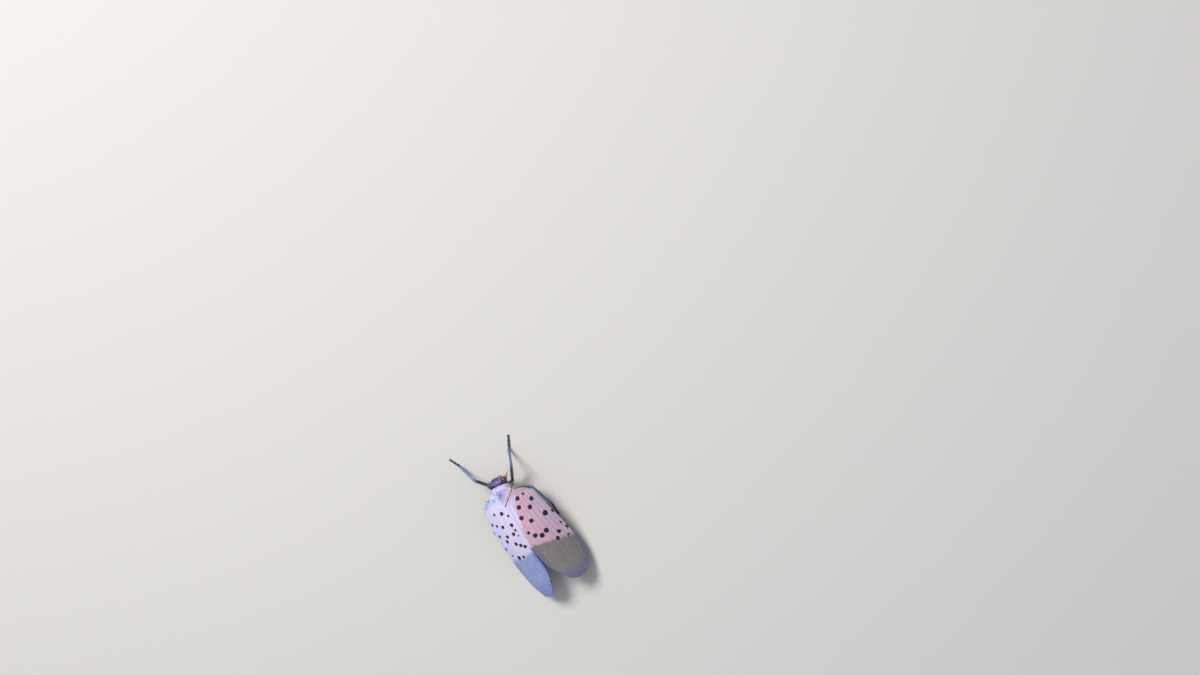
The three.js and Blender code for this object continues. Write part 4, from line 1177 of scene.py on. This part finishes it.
def abdomen_shell():
    """A loft whose radius tapers as sqrt(1 - f^2.4), with a lip at the end of each ring."""
    f = np.linspace(0, 0.992, 210)[:, None]
    c, s = np.cos(turns(128)), np.sin(turns(128))
    part = (f * ABDOMEN["rings"]) % 1
    taper = np.sqrt(1 - f**2.4) * step(f + 0.25, 0, 0.5) ** 0.25
    lip = ABDOMEN["lip"] * (step(part, 0.0, 0.55) - step(part, 0.93, 1.0))
    side = 0.12 * hump(s + 0.25, 0.1)
    x = (ABDOMEN["half_width"] + lip + side) * taper * c
    y = ABDOMEN["front"] + (ABDOMEN["rear"] - ABDOMEN["front"]) * f
    z = -0.42 - 0.35 * f**2 + (ABDOMEN["half_height"] + lip) * taper * s
    w = round_the_arch(np.minimum(np.abs(x), 8))
    roof = ridge_height(y) - arch(w)[1] - 1.05
    z = np.where(z > 0, np.minimum(z, roof + 0.2 * step(seam(y, "both") - w, -0.2, 0.3)), z)
    barred = np.maximum(step(s, -0.15, 0.3), step(-s, 0.55, 0.85))
    return tube(skin_at(x, y, z), part=part, barred=barred, cap=step(f, 0.9, 0.93))


abdomen_skin = abdomen_shell()
print("abdomen:", abdomen_skin)

# %% [markdown]
# The bars come from the same share of a ring, so they stay true to the lips. Noise moves
# their borders a little, and they are faint on the flanks, where the yellow shows.

# %% Finish of the abdomen
rings = Finish("abdomen_rings")
part = rings.wandering("part", 0.8, 0.14)
bar = rings.rises(part, 0.12, 0.2) * rings.rises(part, 0.9, 0.8)
tone = rings.layered(
    rings.clouded((0.66, 0.42, 0.06), (0.52, 0.33, 0.07), 0.5),
    (bar * (0.1 + 0.87 * rings.carried("barred")), (0.018, 0.015, 0.02)),
    (rings.carried("cap") * 0.9, (0.45, 0.03, 0.02)),
)
rings.surface(tone, 0.45 + 0.2 * rings.noise(0.3), rings.bump(rings.noise(0.12), 0.02))
piece("abdomen_rings", [abdomen_skin], rings, ["abdomen"])

# %% [markdown]
# ## Legs
# Each leg is one skin from its socket to its toe: coxa, a short trochanter, femur, tibia and
# a foot of three joints. The path is a bent line whose corners are rounded by taking, at
# each place, the mean of the line a short way before and behind. The knee isn't drawn but
# found: it is the place where the two long segments meet, bent towards a given way.

# %% The legs' sizes and the path of a leg
ANKLE_HEIGHT, TOE_HEIGHT = 0.46, 0.17
LEGS = {  # per side: where the ankle stands, which way the foot points, which way the knee bends
    "fore": {
        "socket": (1.15, -2.2, -1.35), "hip": (1.7, -2.4, -2.75), "femur": 4.7, "tibia": 5.7, "foot": 2.5,
        "left": ((7.2, -9.2), (0.54, -0.84), (-0.25, 0.35, 1)),
        "right": ((-3.2, -8.3), (-0.4, -0.92), (-0.22, 0.4, 1)),
    },
    "mid": {
        "socket": (1.35, -0.45, -1.55), "hip": (1.95, -0.6, -2.85), "femur": 4.3, "tibia": 6.0, "foot": 2.5,
        "left": ((5.0, 6.2), (0.1, 0.99), (0.8, -0.3, 0.5)),
        "right": ((-5.95, 4.4), (-0.15, 0.99), (-0.35, -0.5, 0.8)),
    },
    "hind": {
        "socket": (1.3, 1.6, -1.55), "hip": (1.9, 1.95, -2.7), "femur": 5.2, "tibia": 7.6, "foot": 3.0,
        "left": ((3.6, 11.6), (0.1, 0.99), (0.9, -0.4, 0.35)),
        "right": ((-5.0, 11.8), (-0.2, 0.98), (-0.9, -0.3, 0.3)),
    },
}
HIP, KNEE, ANKLE, TOE = range(1, 5)  # numbers of a leg's corners; its socket is corner 0


def knee_of(hip, ankle, femur, tibia, way):
    """Third corner of the triangle whose base is hip to ankle, on the side of `way`."""
    reach = np.linalg.norm(ankle - hip)
    line = (ankle - hip) / reach
    along = (femur**2 - tibia**2 + reach**2) / (2 * reach)
    bend = unit(np.asarray(way) - np.dot(way, line) * line)
    return hip + line * along + bend * np.sqrt(femur**2 - along**2)


def leg_corners(pair, name):
    """Socket, hip, knee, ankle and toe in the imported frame."""
    leg, side = LEGS[pair], SIDES[name]
    ankle_at, toe_way, knee_way = leg[name]
    socket, hip = (placed(np.array(leg[k]) * (side, 1, 1)) for k in ("socket", "hip"))
    ankle = np.array([*ankle_at, ANKLE_HEIGHT]) + MIDDLE
    knee = knee_of(hip, ankle, leg["femur"], leg["tibia"], knee_way)
    toe = ankle + np.array([*(unit(toe_way) * leg["foot"]), TOE_HEIGHT - ANKLE_HEIGHT])
    return np.array([socket, hip, knee, ankle, toe])


def rounded(corners, lengths, places, soft):
    """The bent line at these lengths along it, each the mean over `soft` mm either way."""
    window = places[:, None] + np.linspace(-soft, soft, 11)
    return np.stack([np.interp(window, lengths, corners[:, k]) for k in range(3)], -1).mean(1)


for pair in LEGS:
    print(f"{pair} knees, mm:", [leg_corners(pair, name)[KNEE].round(1).tolist() for name in SIDES])

# %% [markdown]
# A leg is never a plain rod: it swells in each segment and narrows at each joint. The
# stations below say where, as a share of their segment, and the foot is laid on the floor by
# pulling its centres down to its own half height.

# %% Shape of a leg
LEG_STATIONS = np.array([  # segment, share of it, half width, half height
    (0, 0.00, 0.42, 0.46), (0, 0.50, 0.44, 0.48), (0, 0.85, 0.34, 0.37), (0, 0.97, 0.26, 0.28),
    (1, 0.03, 0.31, 0.34), (1, 0.08, 0.31, 0.34), (1, 0.11, 0.25, 0.28), (1, 0.18, 0.28, 0.37),
    (1, 0.50, 0.28, 0.40), (1, 0.85, 0.26, 0.32), (1, 0.95, 0.27, 0.30), (1, 0.99, 0.20, 0.21),
    (2, 0.02, 0.20, 0.22), (2, 0.05, 0.25, 0.27), (2, 0.14, 0.20, 0.22), (2, 0.60, 0.20, 0.22),
    (2, 0.93, 0.25, 0.26), (2, 0.985, 0.23, 0.23), (3, 0.00, 0.14, 0.14), (3, 0.05, 0.15, 0.15),
    (3, 0.12, 0.19, 0.19), (3, 0.38, 0.22, 0.19), (3, 0.42, 0.13, 0.13), (3, 0.46, 0.18, 0.17),
    (3, 0.60, 0.22, 0.18), (3, 0.64, 0.13, 0.12), (3, 0.68, 0.16, 0.15), (3, 0.90, 0.18, 0.15),
    (3, 0.97, 0.10, 0.09),
])
FOOT_JOINTS = [22, 25]  # the narrow stations between the foot's three joints
LEG_RINGS, LEG_COLUMNS, CORNER_SOFTNESS, RIB_DEPTH = 330, 40, 0.22, 0.07


def leg_surface(pair, name):
    """The leg's skin and the path it was made from.

    Each ring is an ellipse times 1 + 0.07 cos(4 angle), which gives femur and tibia their four ribs. near is
    a bump over the distance to a joint, and the painted reflection of the sky lies on the shin where the
    skin faces up.
    """
    corners = leg_corners(pair, name)
    lengths = np.concatenate([[0], np.cumsum(np.linalg.norm(np.diff(corners, axis=0), axis=1))])
    places = np.linspace(0, lengths[TOE], LEG_RINGS)
    centres = rounded(corners, lengths, places, CORNER_SOFTNESS)
    segment = LEG_STATIONS[:, 0].astype(int)
    at = lengths[segment] + LEG_STATIONS[:, 1] * np.diff(lengths)[segment]
    radii = np.stack([np.interp(places, at, LEG_STATIONS[:, k]) for k in (2, 3)], -1)
    resting = step(places, lengths[ANKLE], lengths[ANKLE] + 0.16 * (lengths[TOE] - lengths[ANKLE]))
    centres[:, 2] += (radii[:, 1] + 0.005 - centres[:, 2]) * resting
    plane = unit(np.cross(corners[KNEE] - corners[HIP], corners[ANKLE] - corners[KNEE]))
    ribbed = RIB_DEPTH * step(places, lengths[HIP] + 0.6, lengths[HIP] + 1.4)[:, None]
    points = carried(centres, radii, plane, LEG_COLUMNS, 1 + np.cos(4 * turns(LEG_COLUMNS)) * ribbed)
    points[..., 2] = np.maximum(points[..., 2], 0)

    joints = np.array([lengths[HIP] + 0.5, lengths[KNEE], lengths[ANKLE], *at[FOOT_JOINTS]])
    near = hump(np.abs(places[:, None] - joints).min(1), 0.22)[:, None]
    shin = step(places, lengths[KNEE] - 0.9, lengths[KNEE] + 0.3)
    shin = shin * (1 - step(places, lengths[ANKLE] - 0.3, lengths[ANKLE] + 0.5))
    # a painted reflection of the blue sky on the shin's upper side
    bloom = step(unit(points - centres[:, None])[..., 2], 0.0, 0.75) * shin[:, None]
    path = {"corners": corners, "lengths": lengths, "places": places, "centres": centres, "points": points}
    return tube(points, near=near, bloom=bloom, thorn=0.0), path


print("left foreleg:", leg_surface("fore", "left")[0])

# %% [markdown]
# Claws, the pad between them and the spines of the hind tibia are small tapered tubes, which
# stand in rows that a loop gives.

# %% Claws and spines
CLAW = {"ahead": 0.42, "aside": 0.3, "down": -0.09, "radius": 0.085, "bend": (0, 0, 0.09)}
PAD = {"radii": (0.15, 0.15, 0.1), "ahead": 0.2, "down": -0.05, "grid": (16, 24)}
SIDE_SPINES = {"shares": (0.3, 0.46, 0.62, 0.78), "radius": 0.17, "sunk": 0.08, "lean": 0.3, "bend": -0.03}
CROWN = {"count": 7, "before_end": 0.32, "from": 0.16, "reach": 0.34, "spread": 0.12, "radius": 0.07}


def thorn(root, tip, radius, bend, columns=10, rows=12):
    """A tube from root to tip that thins as (1 - f)^0.8 and bows out by bend * 4f(1 - f)."""
    f = np.linspace(0, 1, rows)[:, None]
    centres = root + (tip - root) * f + np.asarray(bend) * (4 * f * (1 - f))
    radii = np.repeat(radius * (1 - f) ** 0.8 + 0.012, 2, 1)
    plane = unit(np.cross(tip - root, [0.3, 0.2, 1.0]))
    return tube(carried(centres, radii, plane, columns), near=0.0, thorn=1.0)


def foot_shells(corners, foot_length):
    """Two claws that spread from the end of the foot, and the round pad between them."""
    way = unit((corners[TOE] - corners[ANKLE]) * (1, 1, 0))
    across = np.array([-way[1], way[0], 0])
    tip = np.array([*(corners[ANKLE] + way * foot_length * 0.92)[:2], TOE_HEIGHT])
    shells = []
    for turn in (1, -1):
        point = tip + way * CLAW["ahead"] + across * turn * CLAW["aside"] + (0, 0, CLAW["down"])
        shells.append(thorn(tip, point, CLAW["radius"], CLAW["bend"]))
    pad = ball(tip + way * PAD["ahead"] + (0, 0, PAD["down"]), PAD["radii"], *PAD["grid"])
    return [*shells, tube(pad, near=0.8, thorn=0.0)]


def spine_shells(corners, side):
    """Side spines of the hind tibia in a row that grows longer, and a crown at its end."""
    knee, ankle = corners[KNEE], corners[ANKLE]
    along, length = unit(ankle - knee), np.linalg.norm(ankle - knee)
    sideways = np.array([side, 0, 0.35])
    outward = unit(sideways - np.dot(sideways, along) * along)
    around = np.cross(along, outward)
    spines = []
    for share in SIDE_SPINES["shares"]:
        root = knee + along * length * share + outward * SIDE_SPINES["sunk"]
        tip = root + outward * (0.62 + 0.25 * share) * 0.9 + along * SIDE_SPINES["lean"]
        spines.append(thorn(root, tip, SIDE_SPINES["radius"], along * SIDE_SPINES["bend"]))
    for turn in turns(CROWN["count"]):
        out = outward * cos(turn) + around * sin(turn)
        root = knee + along * (length - CROWN["before_end"]) + CROWN["from"] * out
        tip = root + along * CROWN["reach"] + CROWN["spread"] * out
        spines.append(thorn(root, tip, CROWN["radius"], (0, 0, 0), 8, 8))
    return spines


print("spines of a hind shin:", len(spine_shells(leg_corners("hind", "left"), 1)))

# %% [markdown]
# The hairs are hundreds of like, three-sided needles. Particle hair would be lost in the
# export, so they are mesh: one needle is made once, and its copies come from arrays of
# places, directions and lengths. Each also gets a small patch on an unwrap of the legs, one
# strip per leg, round the leg across and along it upwards, where an export can bake it.

# %% Hairs
HAIRS_PER_LEG, HAIR_RADIUS, HAIR_LENGTHS, PATCH = 420, 0.016, (0.13, 0.27), 0.003
rng = np.random.default_rng(11)


def needles(roots, ways, lengths):
    """Copies of one three-sided needle, as one shell: three points round each root and a tip."""
    side = unit(np.cross(ways, [0.31, 0.17, 0.93]))
    other = np.cross(ways, side)
    ring = [roots - 0.02 * ways + HAIR_RADIUS * (side * cos(a) + other * sin(a)) for a in turns(3)]
    points = np.stack([*ring, roots + ways * lengths[:, None]], 1)
    first = 4 * np.arange(len(roots))[:, None]
    faces = first[:, None] + np.array([(0, 1, 3), (1, 2, 3), (2, 0, 3), (2, 1, 0)])
    return Shell(points.reshape(-1, 3), [faces.reshape(-1, 3)], {})


def hair_of(path, strip):
    """Roots, ways, lengths and unwrapped places of hairs that lean towards the foot."""
    places, points, count = path["places"], path["points"], HAIRS_PER_LEG
    rows = rng.integers(np.searchsorted(places, path["lengths"][HIP] + 0.7), len(places) - 12, count)
    columns = (rng.integers(0, 8, count) * 5 + rng.integers(-1, 2, count)) % LEG_COLUMNS
    roots = points[rows, columns]
    out = unit(roots - path["centres"][rows])
    along = unit(np.gradient(path["centres"], axis=0))[rows]
    ways = unit(0.65 * out + along + rng.normal(0, 0.12, (count, 3)))
    keep = roots[:, 2] + ways[:, 2] * 0.25 > 0.03
    lengths = rng.uniform(*HAIR_LENGTHS, count)
    across = (strip + 0.05 + 0.9 * columns / LEG_COLUMNS) / (len(LEGS) * len(SIDES))
    unwrapped = np.stack([across, places[rows] / places[-1]], -1)
    return roots[keep], ways[keep], lengths[keep], unwrapped[keep]


def unwrap_needles(made, unwrapped):
    """Gives the piece its OFBake map: a triangle round each needle's place, its tip inside."""
    corner = np.zeros(len(made.data.loops), np.int32)
    made.data.loops.foreach_get("vertex_index", corner)
    patch = PATCH / 2 * np.array([*((cos(a), sin(a)) for a in turns(3)), (0, 0)])
    places = (unwrapped[:, None] + patch).reshape(-1, 2)
    made.data.uv_layers.new(name="OFBake").data.foreach_set("uv", places[corner].astype(np.float32).ravel())


print("hairs drawn:", HAIRS_PER_LEG * len(LEGS) * len(SIDES))

# %% [markdown]
# The legs are black with a blue gloss. In the photograph the light from above turns the shins bright blue,
# so that blue is painted on their upper side as a painted reflection of the sky. The joints are brown, claws
# and spines black, and a thin coat makes them all shine.

# %% Finish of the legs, and the six of them
legs = Finish("leg_shell")
tone = legs.layered(
    legs.clouded((0.016, 0.020, 0.045), (0.04, 0.07, 0.17), 0.9, low=0.35),
    # painted reflection of the sky, bright blue on the upper side of the shins
    (legs.carried("bloom") * 0.85, (0.16, 0.34, 0.80)),
    (legs.carried("near") * 0.55, (0.10, 0.055, 0.045)),
    (legs.carried("thorn") * 0.8, (0.012, 0.010, 0.012)),
)
gloss = {"Coat_Weight": 0.4, "Coat_Roughness": 0.25}
legs.surface(tone, 0.28 + 0.22 * legs.noise(0.25), legs.bump(legs.noise(0.07, 2.0), 0.015), **gloss)

hairs = []
for pair in LEGS:
    for name, side in SIDES.items():
        skin, path = leg_surface(pair, name)
        shells = [skin, *foot_shells(path["corners"], LEGS[pair]["foot"])]
        if pair == "hind":
            shells += spine_shells(path["corners"], side)
        nodes = [f"{pair}_{part}_{name}" for part in ("coxa", "femur", "tibia", "foot")]
        piece(f"{pair}_leg_{name}", shells, legs, nodes)
        hairs.append(hair_of(path, len(hairs)))

bristles = Finish("leg_bristles")
bristles.surface((0.03, 0.028, 0.035), 0.4)
roots, ways, lengths, unwrapped = (np.concatenate(part) for part in zip(*hairs))
unwrap_needles(piece("leg_hairs", [needles(roots, ways, lengths)], bristles), unwrapped)

# %% [markdown]
# ## Floor and light
# A plain pale floor, one broad soft light from the picture's upper left, as in the
# photograph, and two weaker ones that keep the shadows open. The view transform is the plain
# one, so that a finish shows in the colours that were given to it.

# %% Floor and light
FLOOR_HALF = 1.5
floor_mesh = bpy.data.meshes.new("floor")
floor_corners = [(x * FLOOR_HALF, y * FLOOR_HALF, 0) for x, y in ((-1, -1), (1, -1), (1, 1), (-1, 1))]
floor_mesh.from_pydata(floor_corners, [], [(0, 1, 2, 3)])
floor_mesh.materials.append(Finish("floor_pale").surface((0.62, 0.60, 0.57), 0.7).material)
floor = bpy.data.objects.new("floor", floor_mesh)
bpy.context.scene.collection.objects.link(floor)


def lamp(name, towards, away, size, power, colour):
    """A square light `away` metres off, aimed at the animal, in the direction `towards`."""
    light = bpy.data.lights.new(name, "AREA")
    light.size, light.energy, light.color = size, power, colour
    made = bpy.data.objects.new(name, light)
    back = unit(towards)
    side = unit(np.cross([0.1, 0.9, 0.2], back))
    bpy.context.scene.collection.objects.link(made)
    stand(made, side, np.cross(back, side), back, back * away)


upper_left = -0.75 * image_right + 0.45 * image_up + 0.9 * towards_camera
lamp("key", upper_left, away=0.5, size=0.18, power=2.3, colour=(1.0, 0.98, 0.95))
lamp("sky", (0, 0, 1), away=0.7, size=0.9, power=1.6, colour=(0.84, 0.90, 1.0))
lamp("fill", (-1, 0.6, 0.5), away=0.6, size=0.5, power=0.5, colour=(0.95, 0.95, 1.0))
world = bpy.data.worlds.new("studio")
world.use_nodes = True
background = world.node_tree.nodes["Background"]
background.inputs["Color"].default_value = (0.85, 0.9, 1.0, 1)
background.inputs["Strength"].default_value = 0.22
bpy.context.scene.world = world
bpy.context.scene.view_settings.view_transform = "Standard"
